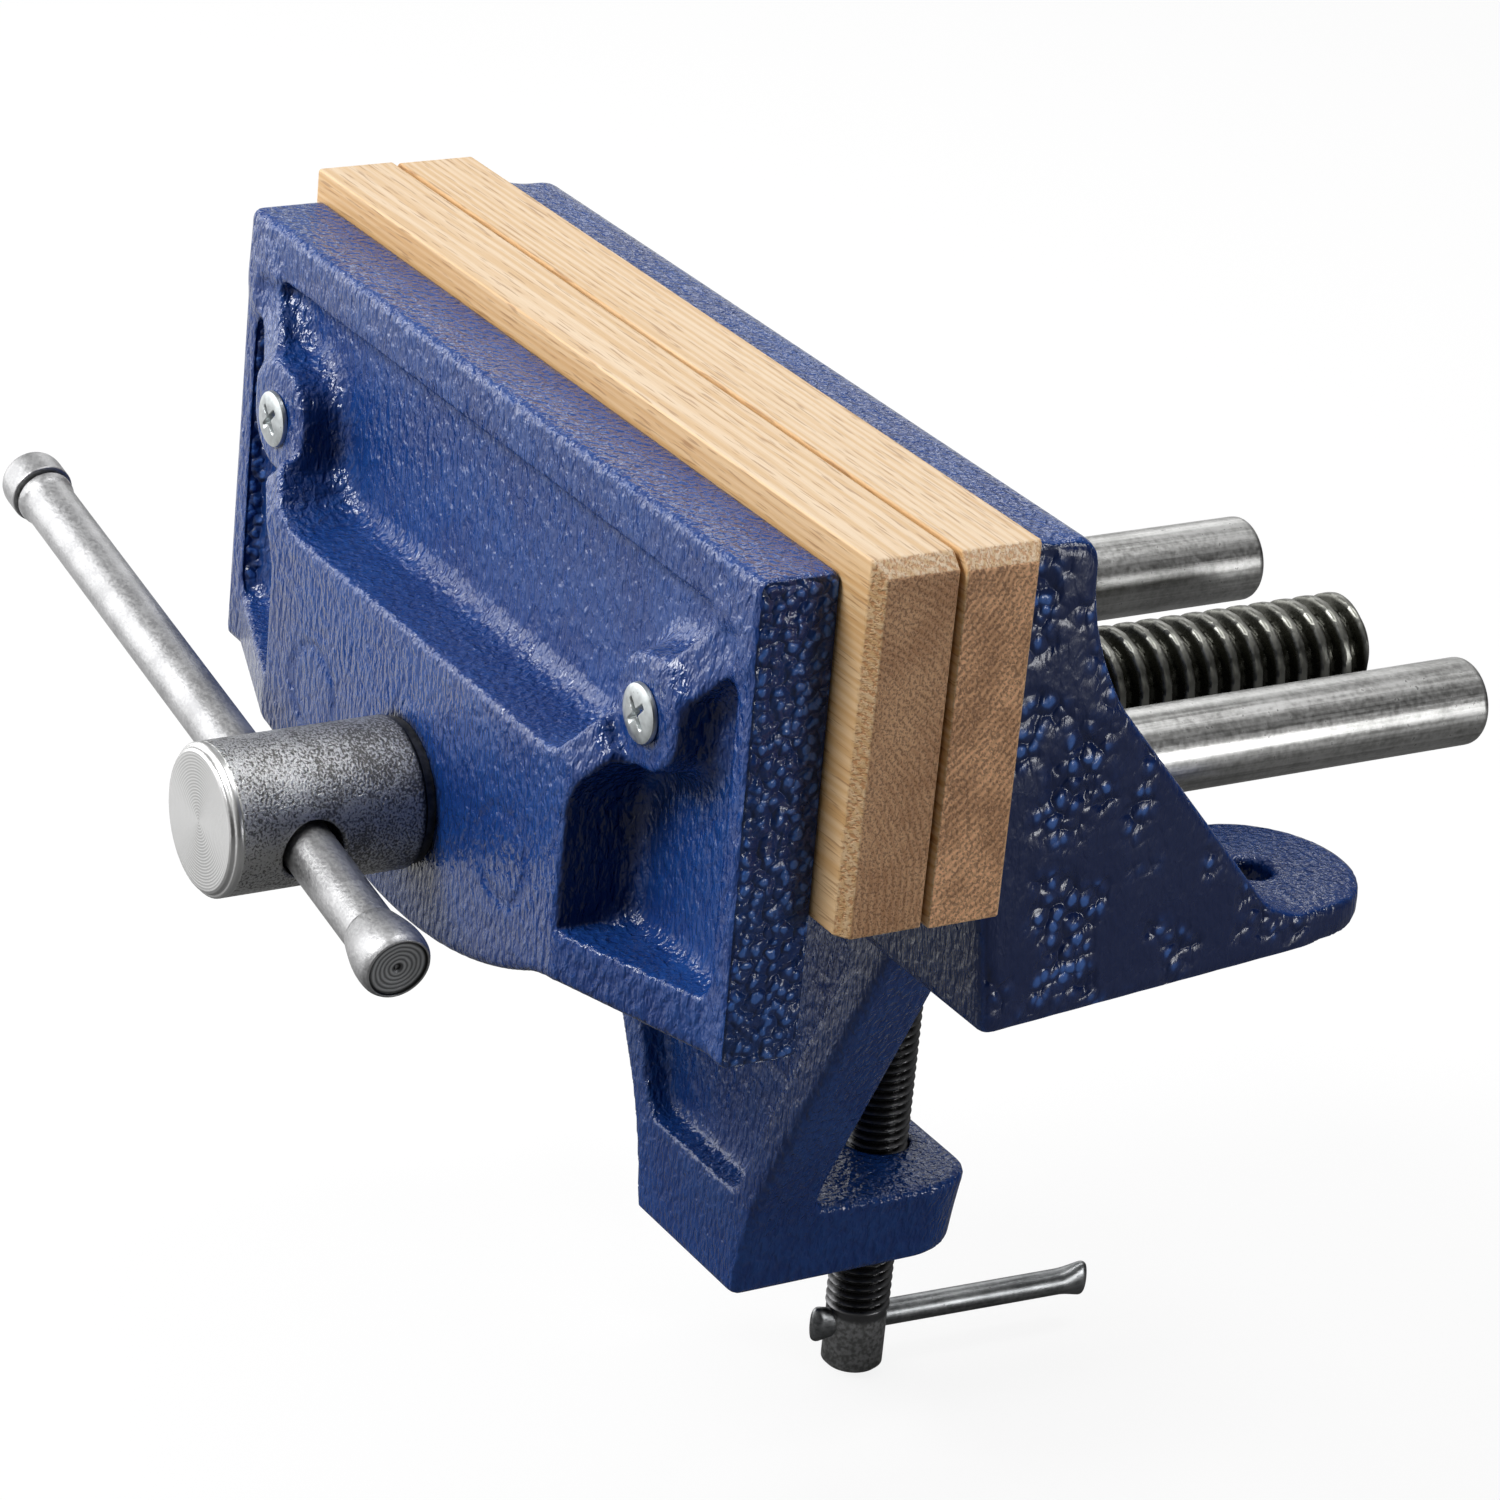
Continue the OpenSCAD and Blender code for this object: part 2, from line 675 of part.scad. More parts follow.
module rear_liner_screws() {
    color(zinc) both_ends() translate([liner_screw_x, plate_back_y, liner_screw_z])
        rotate([90, 0, 0]) wood_screw(rear_plate_t);
}

// Guide rods and their pins

module guide_rod(x) {
    front = face_y + rod_sunk;
    color(grey_steel) difference() {
        translate([x, front, rod_z]) rotate([-90, 0, 0]) rotate_extrude()
            polygon([[0, 0], [rod_r, 0], [rod_r, rod_reach - front - rod_chamfer],
                [rod_r - rod_chamfer, rod_reach - front], [0, rod_reach - front]]);
        z_cyl(x, rod_pin_y, rod_pin_d / 2 + fit_gap,
            rod_z - rod_r - over, rod_z - rod_r + rod_pin_bite + fit_gap);
    }
}

module guide_rod_left() {
    guide_rod(-rod_x);
}

module guide_rod_right() {
    guide_rod(rod_x);
}

module rod_pins() {
    low = bulge_z - sqrt(bulge_r * bulge_r - rod_x * rod_x);
    color(dark_steel) both_ends()
        z_cyl(rod_x, rod_pin_y, rod_pin_d / 2, low + rod_pin_sunk, rod_z - rod_r + rod_pin_bite);
}

// Main screw and what turns with it

// Half section of the main screw, with its length along the second coordinate
module screw_profile() {
    tip = head_back_y - spigot_l;
    journal = head_back_y - tip;
    start = collar_y + collar_w + screw_plain - tip;
    finish = screw_reach - tip;
    turns = floor((finish - start - screw_pitch) / screw_pitch);
    groove = [for (i = [0 : turns - 1]) let (y = start + i * screw_pitch)
        each [[screw_r, y], [screw_root_r, y + screw_flank], [screw_root_r, y + screw_flank + screw_land],
            [screw_r, y + 2 * screw_flank + screw_land]]];
    polygon(concat([[0, 0], [spigot_r, 0], [spigot_r, journal], [screw_r, journal]], groove,
        [[screw_r, finish - screw_thread], [screw_root_r, finish], [0, finish]]));
}

module main_screw() {
    color(dark_steel) difference() {
        translate([0, head_back_y - spigot_l, screw_z]) rotate([-90, 0, 0]) rotate_extrude() screw_profile();
        translate([-screw_d, collar_y + collar_w / 2, screw_z]) rotate([0, 90, 0])
            cylinder(r = collar_pin_d / 2 + fit_gap, h = 2 * screw_d);
    }
}

module screw_head() {
    color(grey_steel) difference() {
        translate([0, head_front_y, screw_z]) rotate([-90, 0, 0]) rotate_extrude()
            polygon([[0, 0], [head_d / 2 - head_chamfer, 0], [head_d / 2, head_chamfer],
                [head_d / 2, head_l], [0, head_l]]);
        y_cyl(0, screw_z, spigot_r + fit_gap, head_back_y - spigot_l - fit_gap, head_back_y + over);
        translate([0, bar_y, screw_z]) rotate([0, 90 + bar_angle, 0])
            cylinder(r = bar_hole_d / 2, h = 2 * head_d, center = true);
    }
}

module thrust_washer() {
    color(zinc) difference() {
        y_cyl(0, screw_z, washer_d / 2, washer_y - washer_t, washer_y);
        y_cyl(0, screw_z, screw_r + run_gap, washer_y - washer_t - over, washer_y + over);
    }
}

module retaining_collar() {
    color(grey_steel) difference() {
        y_cyl(0, screw_z, collar_d / 2, collar_y, collar_y + collar_w);
        y_cyl(0, screw_z, screw_r + fit_gap, collar_y - over, collar_y + collar_w + over);
        translate([-collar_d, collar_y + collar_w / 2, screw_z]) rotate([0, 90, 0])
            cylinder(r = collar_pin_d / 2 + fit_gap, h = 2 * collar_d);
    }
}

module collar_pin() {
    color(zinc) translate([-collar_pin_l / 2, collar_y + collar_w / 2, screw_z]) rotate([0, 90, 0])
        cylinder(r = collar_pin_d / 2, h = collar_pin_l);
}

// Nut in the rear jaw

module spindle_nut() {
    color(dark_steel) difference() {
        union() {
            y_cyl(0, screw_z, nut_d / 2, nut_front_y, 0);
            y_cyl(0, screw_z, nut_flange_d / 2, nut_flange_y + fit_gap, 0);
        }
        y_cyl(0, screw_z, screw_r + run_gap, plate_front_y - over, over);
    }
}

module nut_lock_screw() {
    color(black_steel) difference() {
        z_cyl(0, lock_y, lock_d / 2, lock_top - lock_l, lock_top);
        translate([0, lock_y, lock_top - lock_socket])
            cylinder(d = lock_socket, h = lock_socket + over, $fn = 6);
    }
}

// Handle bar, built along X and laid into the tilted hole of the head
module in_handle_hole() {
    translate([0, bar_y, screw_z]) rotate([0, bar_angle, 0])
        translate([0, 0, -bar_sink]) rotate([0, 90, 0]) children();
}

module handle_bar() {
    shoulder = cap_l + cap_gap - bar_far;
    knob_r = knob_d / 2;
    knob_in = bar_near - knob_l;
    color(bright_steel) in_handle_hole() rotate_extrude()
        polygon([[0, shoulder - cap_gap - tenon_l], [tenon_d / 2, shoulder - cap_gap - tenon_l],
            [tenon_d / 2, shoulder], [bar_r, shoulder], [bar_r, knob_in], [knob_r, knob_in + knob_flare],
            [knob_r, bar_near - knob_round], [knob_r - knob_edge / 2, bar_near - knob_edge / 2],
            [knob_r - knob_edge, bar_near], [0, bar_near]]);
}

module handle_cap() {
    cap_r = cap_d / 2;
    open = cap_l - bar_far;
    color(bright_steel) in_handle_hole() rotate_extrude() difference() {
        union() {
            translate([0, cap_dome - bar_far]) square([cap_r, cap_l - cap_dome]);
            translate([0, -bar_far]) square([cap_r - cap_dome, cap_dome + fit_gap]);
            intersection() {
                translate([cap_r - cap_dome, cap_dome - bar_far]) circle(r = cap_dome);
                translate([0, -bar_far]) square([cap_r, cap_l]);
            }
        }
        translate([-over, open - tenon_l - 2 * fit_gap])
            square([tenon_d / 2 + fit_gap + over, tenon_l + over]);
    }
}

// Clamp under the bench

module clamp_screw_profile() {
    start = plain_z + clamp_pitch;
    top = shoulder_z - clamp_pitch;
    turns = floor((top - start) / clamp_pitch);
    groove = [for (i = [0 : turns - 1]) let (z = start + i * clamp_pitch)
        each [[clamp_r, z + clamp_crest], [clamp_root_r, z + clamp_pitch / 2],
            [clamp_r, z + clamp_pitch - clamp_crest]]];
    spigot_top = pad_top - pad_roof - 2 * end_play;
    polygon(concat([[0, clamp_bottom], [clamp_plain_r - clamp_chamfer, clamp_bottom],
        [clamp_plain_r, clamp_bottom + clamp_chamfer], [clamp_plain_r, plain_z], [clamp_r, plain_z]], groove,
        [[clamp_r, shoulder_z], [clamp_spigot_r, shoulder_z],
            [clamp_spigot_r, spigot_top], [0, spigot_top]]));
}

module on_tommy_axis() {
    translate([0, clamp_y, tommy_z]) rotate([0, 0, -tommy_angle]) children();
}

module clamp_screw() {
    color(black_steel) difference() {
        translate([0, clamp_y, 0]) rotate_extrude() clamp_screw_profile();
        on_tommy_axis() y_cyl(0, 0, tommy_hole_r, -clamp_d, clamp_d);
    }
}

module clamp_pad() {
    color(black_steel) difference() {
        union() {
            z_cyl(0, clamp_y, pad_d / 2, pad_top - pad_t, pad_top);
            z_cyl(0, clamp_y, pad_boss_d / 2, pad_bottom, pad_top - pad_t / 2);
        }
        z_cyl(0, clamp_y, clamp_spigot_r + run_gap, pad_bottom - over, pad_top - pad_roof);
    }
}

module tommy_end(y0, y1) {
    intersection() {
        y_cyl(0, 0, tommy_end_w / 2, y0, y1);
        translate([-tommy_end_t / 2, y0, -tommy_end_w]) cube([tommy_end_t, y1 - y0, 2 * tommy_end_w]);
    }
}

module tommy_bar() {
    color(zinc) on_tommy_axis() {
        y_cyl(0, 0, tommy_d / 2, tommy_end_l / 2 - tommy_short, tommy_long - tommy_end_l / 2);
        tommy_end(-tommy_short, tommy_end_l - tommy_short);
        tommy_end(tommy_long - tommy_end_l, tommy_long);
    }
}

front_jaw();
rear_jaw();
front_liner();
rear_liner();
front_liner_screws();
rear_liner_screws();
guide_rod_left();
guide_rod_right();
rod_pins();
main_screw();
screw_head();
thrust_washer();
retaining_collar();
collar_pin();
spindle_nut();
nut_lock_screw();
handle_bar();
handle_cap();
clamp_screw();
clamp_pad();
tommy_bar();
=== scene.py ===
import math

import bmesh
import bpy
import numpy as np
from mathutils import Matrix, Vector


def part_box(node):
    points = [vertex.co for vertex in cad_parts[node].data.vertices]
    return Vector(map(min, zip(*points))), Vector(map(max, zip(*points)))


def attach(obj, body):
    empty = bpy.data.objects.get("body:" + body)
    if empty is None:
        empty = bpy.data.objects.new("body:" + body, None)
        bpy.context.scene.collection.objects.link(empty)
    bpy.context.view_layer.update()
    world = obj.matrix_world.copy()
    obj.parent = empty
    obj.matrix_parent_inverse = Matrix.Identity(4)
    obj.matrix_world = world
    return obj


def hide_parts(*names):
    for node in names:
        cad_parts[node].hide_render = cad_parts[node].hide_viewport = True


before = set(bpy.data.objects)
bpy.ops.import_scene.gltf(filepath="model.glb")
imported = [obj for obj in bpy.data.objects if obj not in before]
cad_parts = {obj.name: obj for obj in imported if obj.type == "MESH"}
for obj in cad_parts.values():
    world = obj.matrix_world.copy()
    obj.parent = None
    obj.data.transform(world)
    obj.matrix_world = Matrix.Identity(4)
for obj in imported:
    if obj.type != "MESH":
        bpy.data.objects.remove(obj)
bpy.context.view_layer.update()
mm = 0.001  # shapes are worked out in millimetres and stored in metres
print("frame loaded:", len(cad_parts), "nodes")


# Mesh helpers

def addPiece(name, points, faces, look, body, slot, nodes, sharp=50):
    # points in millimetres, faces as rows of corner numbers; poles and seams are merged here,
    # and edges that turn by more than the sharp angle stay crisp
    mesh = bpy.data.meshes.new(name)
    mesh.from_pydata(np.asarray(points, float) * mm, [], np.asarray(faces).tolist())
    work = bmesh.new()
    work.from_mesh(mesh)
    bmesh.ops.remove_doubles(work, verts=work.verts, dist=1e-6)
    bmesh.ops.recalc_face_normals(work, faces=work.faces)
    work.to_mesh(mesh)
    work.free()
    mesh.shade_smooth()
    mesh.set_sharp_from_angle(angle=math.radians(sharp))
    piece = bpy.data.objects.new(name, mesh)
    bpy.context.scene.collection.objects.link(piece)
    mesh.materials.append(look)
    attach(piece, body)
    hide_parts(*nodes)
    print(name, len(mesh.polygons), "faces")
    return piece


def gridFaces(rows, columns):
    # quads between neighbouring rows of a grid that closes on itself along each row
    row, column = np.meshgrid(np.arange(rows - 1), np.arange(columns), indexing="ij")
    after = (column + 1) % columns
    here, ahead = row * columns, (row + 1) * columns
    return np.stack([here + column, here + after, ahead + after, ahead + column], -1).reshape(-1, 4)


def merge(shapes):
    # several (points, faces) pairs as one pair
    points, faces = zip(*shapes)
    starts = np.cumsum([0] + [len(group) for group in points])
    return np.concatenate(points), np.concatenate([group + start for group, start in zip(faces, starts)])


def eased(section, radius, steps):
    # half section whose corners become short curves: each runs from one side to the next, drawn to
    # the corner, and takes less than half of a side
    section = np.asarray(section, float)
    radius = np.broadcast_to(radius, len(section))
    most = 0.49
    rows = [section[:1]]
    share = np.linspace(0, 1, steps)[:, None]
    for before, corner, after, reach in zip(section, section[1:], section[2:], radius[1:]):
        back, ahead = before - corner, after - corner
        start = corner + back * min(reach / np.linalg.norm(back), most)
        end = corner + ahead * min(reach / np.linalg.norm(ahead), most)
        rows.append((1 - share) ** 2 * start + 2 * share * (1 - share) * corner + share ** 2 * end)
    return np.concatenate(rows + [section[-1:]])


def crossAxes(axis):
    # an axis as a unit direction, and two more square to it
    axis = Vector(axis).normalized()
    side = axis.orthogonal().normalized()
    return np.array(axis), np.array(side), np.array(axis.cross(side))


def turned(section, base, axis, count=72):
    # a half section of (length, radius) rows, swung round an axis through the base point
    section = np.asarray(section, float)
    along, side, up = crossAxes(axis)
    angle = np.linspace(0, 2 * np.pi, count, endpoint=False)[:, None]
    ring = side * np.cos(angle) + up * np.sin(angle)
    points = np.array(base) + section[:, :1, None] * along + section[:, 1:, None] * ring
    return points.reshape(-1, 3), gridFaces(len(section), count)


# Distance fields: negative inside the metal, in millimetres

def meet(a, b, r):
    # what lies inside both, with the shared edge rounded to radius r
    return np.minimum(np.maximum(a, b), -r) + np.hypot(np.maximum(a + r, 0), np.maximum(b + r, 0))


def join(a, b, r):
    # what lies inside either, with a fillet of radius r in the corner between them
    return -meet(-a, -b, r)


def cut(a, b, r):
    # the first less the second, with the new edge rounded to radius r
    return meet(a, -b, r)


def skin(field, low, high, step):
    # surface net: one point per grid cell that the surface crosses, at the mean of its edge crossings,
    # and one quad round each grid edge whose ends lie on different sides
    axes = [np.arange(lo - 2 * step, hi + 3 * step, step) for lo, hi in zip(low, high)]
    x, y, z = np.meshgrid(*[a.astype(np.float32) for a in axes], indexing="ij", sparse=True)
    value = np.ascontiguousarray(np.broadcast_to(field(x, y, z), [len(a) for a in axes]))
    inside = value < 0
    cells = np.array(value.shape) - 1
    shifts = [(i, j, k) for i in (0, 1) for j in (0, 1) for k in (0, 1)]

    def corners(grid, shift):
        return grid[tuple(slice(start, start + count) for start, count in zip(shift, cells))]

    total = sum(corners(inside, shift).astype(np.int8) for shift in shifts)
    active = (total > 0) & (total < 8)
    corner = np.stack([corners(value, shift)[active] for shift in shifts], 1)
    where = np.zeros((len(corner), 3))
    count = np.zeros((len(corner), 1))
    for first in range(8):
        for bit in (4, 2, 1):
            second = first | bit
            if second == first:
                continue
            a, b = corner[:, first], corner[:, second]
            crossed = ((a < 0) != (b < 0))[:, None]
            share = (a / np.where(a == b, 1, a - b))[:, None]
            start, end = np.array(shifts[first]), np.array(shifts[second])
            where += np.where(crossed, start + share * (end - start), 0)
            count += crossed
    origin = np.array([a[0] for a in axes])
    points = origin + step * (np.argwhere(active) + where / count)
    number = np.full(cells, -1)
    number[active] = np.arange(len(points))
    quads = []
    for axis in range(3):
        p, q = (axis + 1) % 3, (axis + 2) % 3
        lower = np.take(inside, np.arange(cells[axis]), axis)
        upper = np.take(inside, np.arange(1, cells[axis] + 1), axis)
        spot = np.argwhere(lower != upper)
        ring = []
        for dp, dq in ((1, 1), (0, 1), (0, 0), (1, 0)):
            cell = spot.copy()
            cell[:, p] -= dp
            cell[:, q] -= dq
            ring.append(number[tuple(cell.T)])
        ring = np.stack(ring, 1)
        outward = lower[tuple(spot.T)]
        quads.append(np.where(outward[:, None], ring, ring[:, ::-1]))
    return points, np.concatenate(quads)


# Shader helpers

class Wire:
    # a socket that takes part in Python sums; each operator adds a Math node
    def __init__(self, graph, socket):
        self.graph = graph
        self.socket = socket

    def __add__(self, other):
        return self.graph.maths("ADD", self, other)

    def __radd__(self, other):
        return self.graph.maths("ADD", other, self)

    def __sub__(self, other):
        return self.graph.maths("SUBTRACT", self, other)

    def __rsub__(self, other):
        return self.graph.maths("SUBTRACT", other, self)

    def __mul__(self, other):
        return self.graph.maths("MULTIPLY", self, other)

    def __rmul__(self, other):
        return self.graph.maths("MULTIPLY", other, self)

    def __truediv__(self, other):
        return self.graph.maths("DIVIDE", self, other)


class Graph:
    def __init__(self, tree):
        self.tree = tree

    def feed(self, socket, value):
        if isinstance(value, Wire):
            self.tree.links.new(value.socket, socket)
        else:
            socket.default_value = value

    def add(self, kind, settings=None, sockets=None, output=0):
        # any node: its settings come first, then the values or links of its sockets
        node = self.tree.nodes.new(kind)
        for key, value in (settings or {}).items():
            setattr(node, key, value)
        for key, value in (sockets or {}).items():
            self.feed(node.inputs[key], value)
        return Wire(self, node.outputs[output])

    def maths(self, kind, *values):
        return self.add("ShaderNodeMath", {"operation": kind}, dict(enumerate(values)))

    def vector(self, kind, *values, output=0):
        return self.add("ShaderNodeVectorMath", {"operation": kind}, dict(enumerate(values)), output)

    def place(self, scale=(1, 1, 1), shift=(0, 0, 0)):
        # the piece's own place in metres, stretched and shifted for a pattern
        spot = self.add("ShaderNodeTexCoord", output="Object")
        return self.add("ShaderNodeMapping", None, {"Vector": spot, "Location": shift, "Scale": scale})

    def parts(self, vector):
        return [self.add("ShaderNodeSeparateXYZ", None, {0: vector}, i) for i in range(3)]

    def noise(self, where, scale, detail=2.0, rough=0.5, warp=0.0, output=0):
        return self.add("ShaderNodeTexNoise", None, {"Vector": where, "Scale": scale, "Detail": detail,
                                                     "Roughness": rough, "Distortion": warp}, output)

    def cells(self, where, scale, soft):
        return self.add("ShaderNodeTexVoronoi", {"feature": "SMOOTH_F1"},
                        {"Vector": where, "Scale": scale, "Smoothness": soft})

    def ramp(self, value, low, high, start=0.0, end=1.0):
        # value from low to high, eased into start to end
        return self.add("ShaderNodeMapRange", {"interpolation_type": "SMOOTHSTEP"},
                        {0: value, 1: low, 2: high, 3: start, 4: end})

    def tint(self, share, first, second, kind="MIX"):
        # colours go through one Mix node
        first = first if isinstance(first, Wire) else (*first, 1)
        second = second if isinstance(second, Wire) else (*second, 1)
        return self.add("ShaderNodeMix", {"data_type": "RGBA", "blend_type": kind},
                        {0: share, 6: first, 7: second}, 2)

    def bigger(self, a, b):
        return self.maths("MAXIMUM", a, b)

    def size(self, value):
        return self.maths("ABSOLUTE", value)

    def wave(self, value):
        # a sine between 0 and 1
        return self.maths("SINE", value) * 0.5 + 0.5


class Finish(Graph):
    # a material with one Principled shader; fixed values are set on its own sockets
    def __init__(self, name, **fixed):
        self.material = bpy.data.materials.new(name)
        self.material.use_nodes = True
        super().__init__(self.material.node_tree)
        self.shader = self.tree.nodes["Principled BSDF"]
        for key, value in fixed.items():
            self.shader.inputs[key].default_value = value

    def set(self, socket, value):
        self.feed(self.shader.inputs[socket], value)

    def bump(self, height, depth, strength=1.0):
        self.set("Normal", self.add("ShaderNodeBump", None,
                                    {"Strength": strength, "Distance": depth, "Height": height}))

    def around(self, base, axis):
        # metres along a line from its base point, and metres away from that line
        spot = self.vector("SUBTRACT", self.place(), tuple(base))
        along = self.vector("DOT_PRODUCT", spot, tuple(axis), output=1)
        away = self.vector("LENGTH", self.vector("CROSS_PRODUCT", spot, tuple(axis)), output=1)
        return along, away

    def facing(self, axis):
        # 1 where the surface faces along x, y or z, either way
        return self.size(self.parts(self.add("ShaderNodeTexCoord", output="Normal"))["xyz".index(axis)])


# Finishes: lengths in metres, scales in waves per metre

def middle(node):
    low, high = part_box(node)
    return (low + high) * 0.5


enamel = {"deep": (0.0065, 0.032, 0.160), "pale": (0.0105, 0.051, 0.215), "paintedShade": (0.003, 0.012, 0.065),
          "crest": (0.045, 0.13, 0.42), "grime": (0.006, 0.006, 0.006), "drift": 60, "wrinkle": 780,
          "stretch": (1, 1, 0.5), "warp": 0.3, "ridge": 0.72, "bumpDepth": 0.0012, "glossy": 0.10,
          "satin": 0.16, "endRough": 0.15, "endFrom": 0.080, "endFade": 0.002, "endSmooth": 0.7,
          "patches": 90, "patchFade": 0.25, "stir": 0.0016, "wallShade": 0.85, "innerFrom": 0.0,
          "innerFade": 0.004, "grimeFade": (0.0045, 0.0015), "grimeStray": 0.003,
          # dark: how strongly the hollows between blisters are painted with shade on each jaw's end faces
          "front": {"blister": 1.35, "blisterSize": 0.0020, "patchy": 0.05, "dark": 0.45, "grimeR": 0.0131},
          "rear": {"blister": 1.3, "blisterSize": 0.0028, "patchy": 0.46, "dark": 0.92, "grimeR": None}}


def blueEnamel(name, jaw):
    # wrinkled stove enamel: fine upright ridges all over, and round blisters on the rough end faces,
    # with painted shade in the hollows between them and a painted highlight on their tops;
    # grease may blacken it round the main screw, out to a given radius
    e = enamel
    look = Finish(name, IOR=1.5)
    drift = look.noise(look.place(), e["drift"])
    wrinkle = look.noise(look.place(e["stretch"]), e["wrinkle"], 2.0, 0.45, e["warp"])
    x, _, z = look.parts(look.place())
    sideOn = look.ramp(look.facing("x"), 0.55, 0.9)
    outer = look.ramp(look.size(x), e["endFrom"], e["endFrom"] + e["endFade"])
    endOn = sideOn * outer
    patch = look.noise(look.place(), e["patches"], 1.0)
    strong = look.ramp(patch, jaw["patchy"], jaw["patchy"] + e["patchFade"])
    # blisters are round cells, stirred so that no two are alike
    stir = look.noise(look.place(), 0.9 / jaw["blisterSize"], 1.0, output="Color")
    stirred = look.vector("ADD", look.place(), look.vector("MULTIPLY", stir, 3 * (e["stir"],)))
    cell = look.cells(stirred, 1 / jaw["blisterSize"], 0.3)
    blob = look.ramp(cell, 0.62, 0.12) * endOn * strong
    height = wrinkle * (1 - endOn * e["endSmooth"]) * e["ridge"]
    height = height - cell * cell * (endOn * strong * jaw["blister"])
    colour = look.tint(look.ramp(drift * 0.5 + wrinkle * 0.5, 0.35, 0.65), e["deep"], e["pale"])
    # painted shade: the walls inside the pockets, and the hollows between blisters on the end faces, are
    # darkened in colour for the shade that falls there
    shadedWall = sideOn * (1 - outer) * look.ramp(z, e["innerFrom"], e["innerFrom"] + e["innerFade"])
    colour = look.tint((1 - blob) * endOn * jaw["dark"] + shadedWall * e["wallShade"], colour, e["paintedShade"])
    # painted highlight: blister tops on the end faces are tinted a paler blue for the glints they catch
    colour = look.tint(look.ramp(blob, 0.3, 0.8), colour, e["crest"])
    if jaw["grimeR"] is not None:
        _, away = look.around(middle("main_screw"), (0, 1, 0))
        clean, black = [jaw["grimeR"] + fade for fade in e["grimeFade"]]
        grime = look.ramp(away + (wrinkle + drift) * e["grimeStray"], clean, black)
        colour = look.tint(grime, colour, e["grime"])
    look.set("Base Color", colour)
    look.set("Roughness", look.ramp(drift, 0.3, 0.7, e["glossy"], e["satin"]) + endOn * e["endRough"])
    look.bump(height, e["bumpDepth"])
    return look.material


wood = {"pale": (0.67, 0.525, 0.37), "warm": (0.57, 0.385, 0.21), "pore": (0.30, 0.165, 0.08),
        "glow": (1.0, 0.86, 0.64), "endDark": (0.46, 0.235, 0.11), "endDot": (0.13, 0.062, 0.03),
        "ringSpace": 0.0013, "ringWander": 3.5, "wanderGrain": (5, 60, 60), "bandGrain": (4, 170, 170),
        "fibreGrain": (14, 900, 900), "poreGrain": (130, 2400, 2400), "dotGrain": (600, 2000, 2000),
        "smooth": 0.5, "rough": 0.66, "bumpDepth": 0.0003,
        "front": {"pith": (-0.080, 0.030), "end": (0.68, 0.40, 0.215), "shift": (0.03, 0.0, 0.01)},
        "rear": {"pith": (-0.150, 0.170), "end": (0.95, 0.54, 0.29), "shift": (-0.11, 0.03, 0.02)}}


def linerWood(name, board):
    # growth rings round a distant pith, fibres drawn out along the board, and stippled end grain
    look = Finish(name, IOR=1.5)

    def grain(key, detail, rough=0.5):
        return look.noise(look.place(wood[key], board["shift"]), 1.0, detail, rough)

    _, y, z = look.parts(look.place())
    pithY, pithZ = board["pith"]
    wander = grain("wanderGrain", 3.0, 0.6)
    reach = look.maths("SQRT", (y - pithY) * (y - pithY) + (z - pithZ) * (z - pithZ))
    ring = look.wave((reach / wood["ringSpace"] + wander * wood["ringWander"]) * (2 * math.pi))
    band = grain("bandGrain", 2.0)
    fibre = grain("fibreGrain", 4.0, 0.65)
    pores = grain("poreGrain", 1.0)
    stipple = look.ramp(grain("dotGrain", 2.0, 0.6), 0.46, 0.62)
    endOn = look.ramp(look.facing("x"), 0.8, 0.95)
    chamfer = look.ramp(look.facing("x"), 0.3, 0.6)
    figure = look.ramp(fibre * 0.5 + band * 0.35 + ring * 0.15, 0.36, 0.62)
    side = look.tint(figure, wood["warm"], wood["pale"])
    side = look.tint(look.ramp(pores, 0.58, 0.70) * 0.6, side, wood["pore"])
    side = look.tint(chamfer * stipple * 0.75, side, wood["endDark"])
    # painted shade: faces along y are multiplied by a warmer, deeper tone than the top, for the different light
    # that falls on them
    side = look.tint(look.facing("y") * 0.9, side, wood["glow"], "MULTIPLY")
    across = look.ramp(ring * 0.16 + wander * 0.37 + band * 0.47, 0.3, 0.7)
    cross = look.tint(across, wood["endDark"], board["end"])
    cross = look.tint(stipple * 0.6, cross, wood["endDot"])
    look.set("Base Color", look.tint(endOn, side, cross))
    look.set("Roughness", look.ramp(fibre, 0.2, 0.8, wood["smooth"], wood["rough"]))
    look.bump(fibre * 0.4 + pores * 0.3 - chamfer * stipple * 0.35, wood["bumpDepth"], 0.7)
    return look.material


scuffs = {"smudge": 110, "speck": 900, "pitShade": 0.4, "bumpDepth": 0.00006}
steels = {"zinc": {"bright": (0.54, 0.57, 0.575), "dark": (0.36, 0.385, 0.39), "grain": (500, 500, 500),
                   "rough": (0.30, 0.44)},
          "rod": {"bright": (0.59, 0.59, 0.58), "dark": (0.29, 0.29, 0.28), "grain": (1500, 10, 1500),
                  "rough": (0.28, 0.42)},
          "tommy": {"bright": (0.33, 0.34, 0.345), "dark": (0.14, 0.145, 0.15), "grain": (1200, 20, 1200),
                    "rough": (0.3, 0.45)},
          "iron": {"bright": (0.26, 0.26, 0.26), "dark": (0.12, 0.12, 0.12), "grain": (300, 300, 300),
                   "rough": (0.45, 0.6)},
          "black": {"bright": (0.12, 0.12, 0.12), "dark": (0.04, 0.04, 0.04), "grain": (300, 300, 300),
                    "rough": (0.35, 0.5)}}


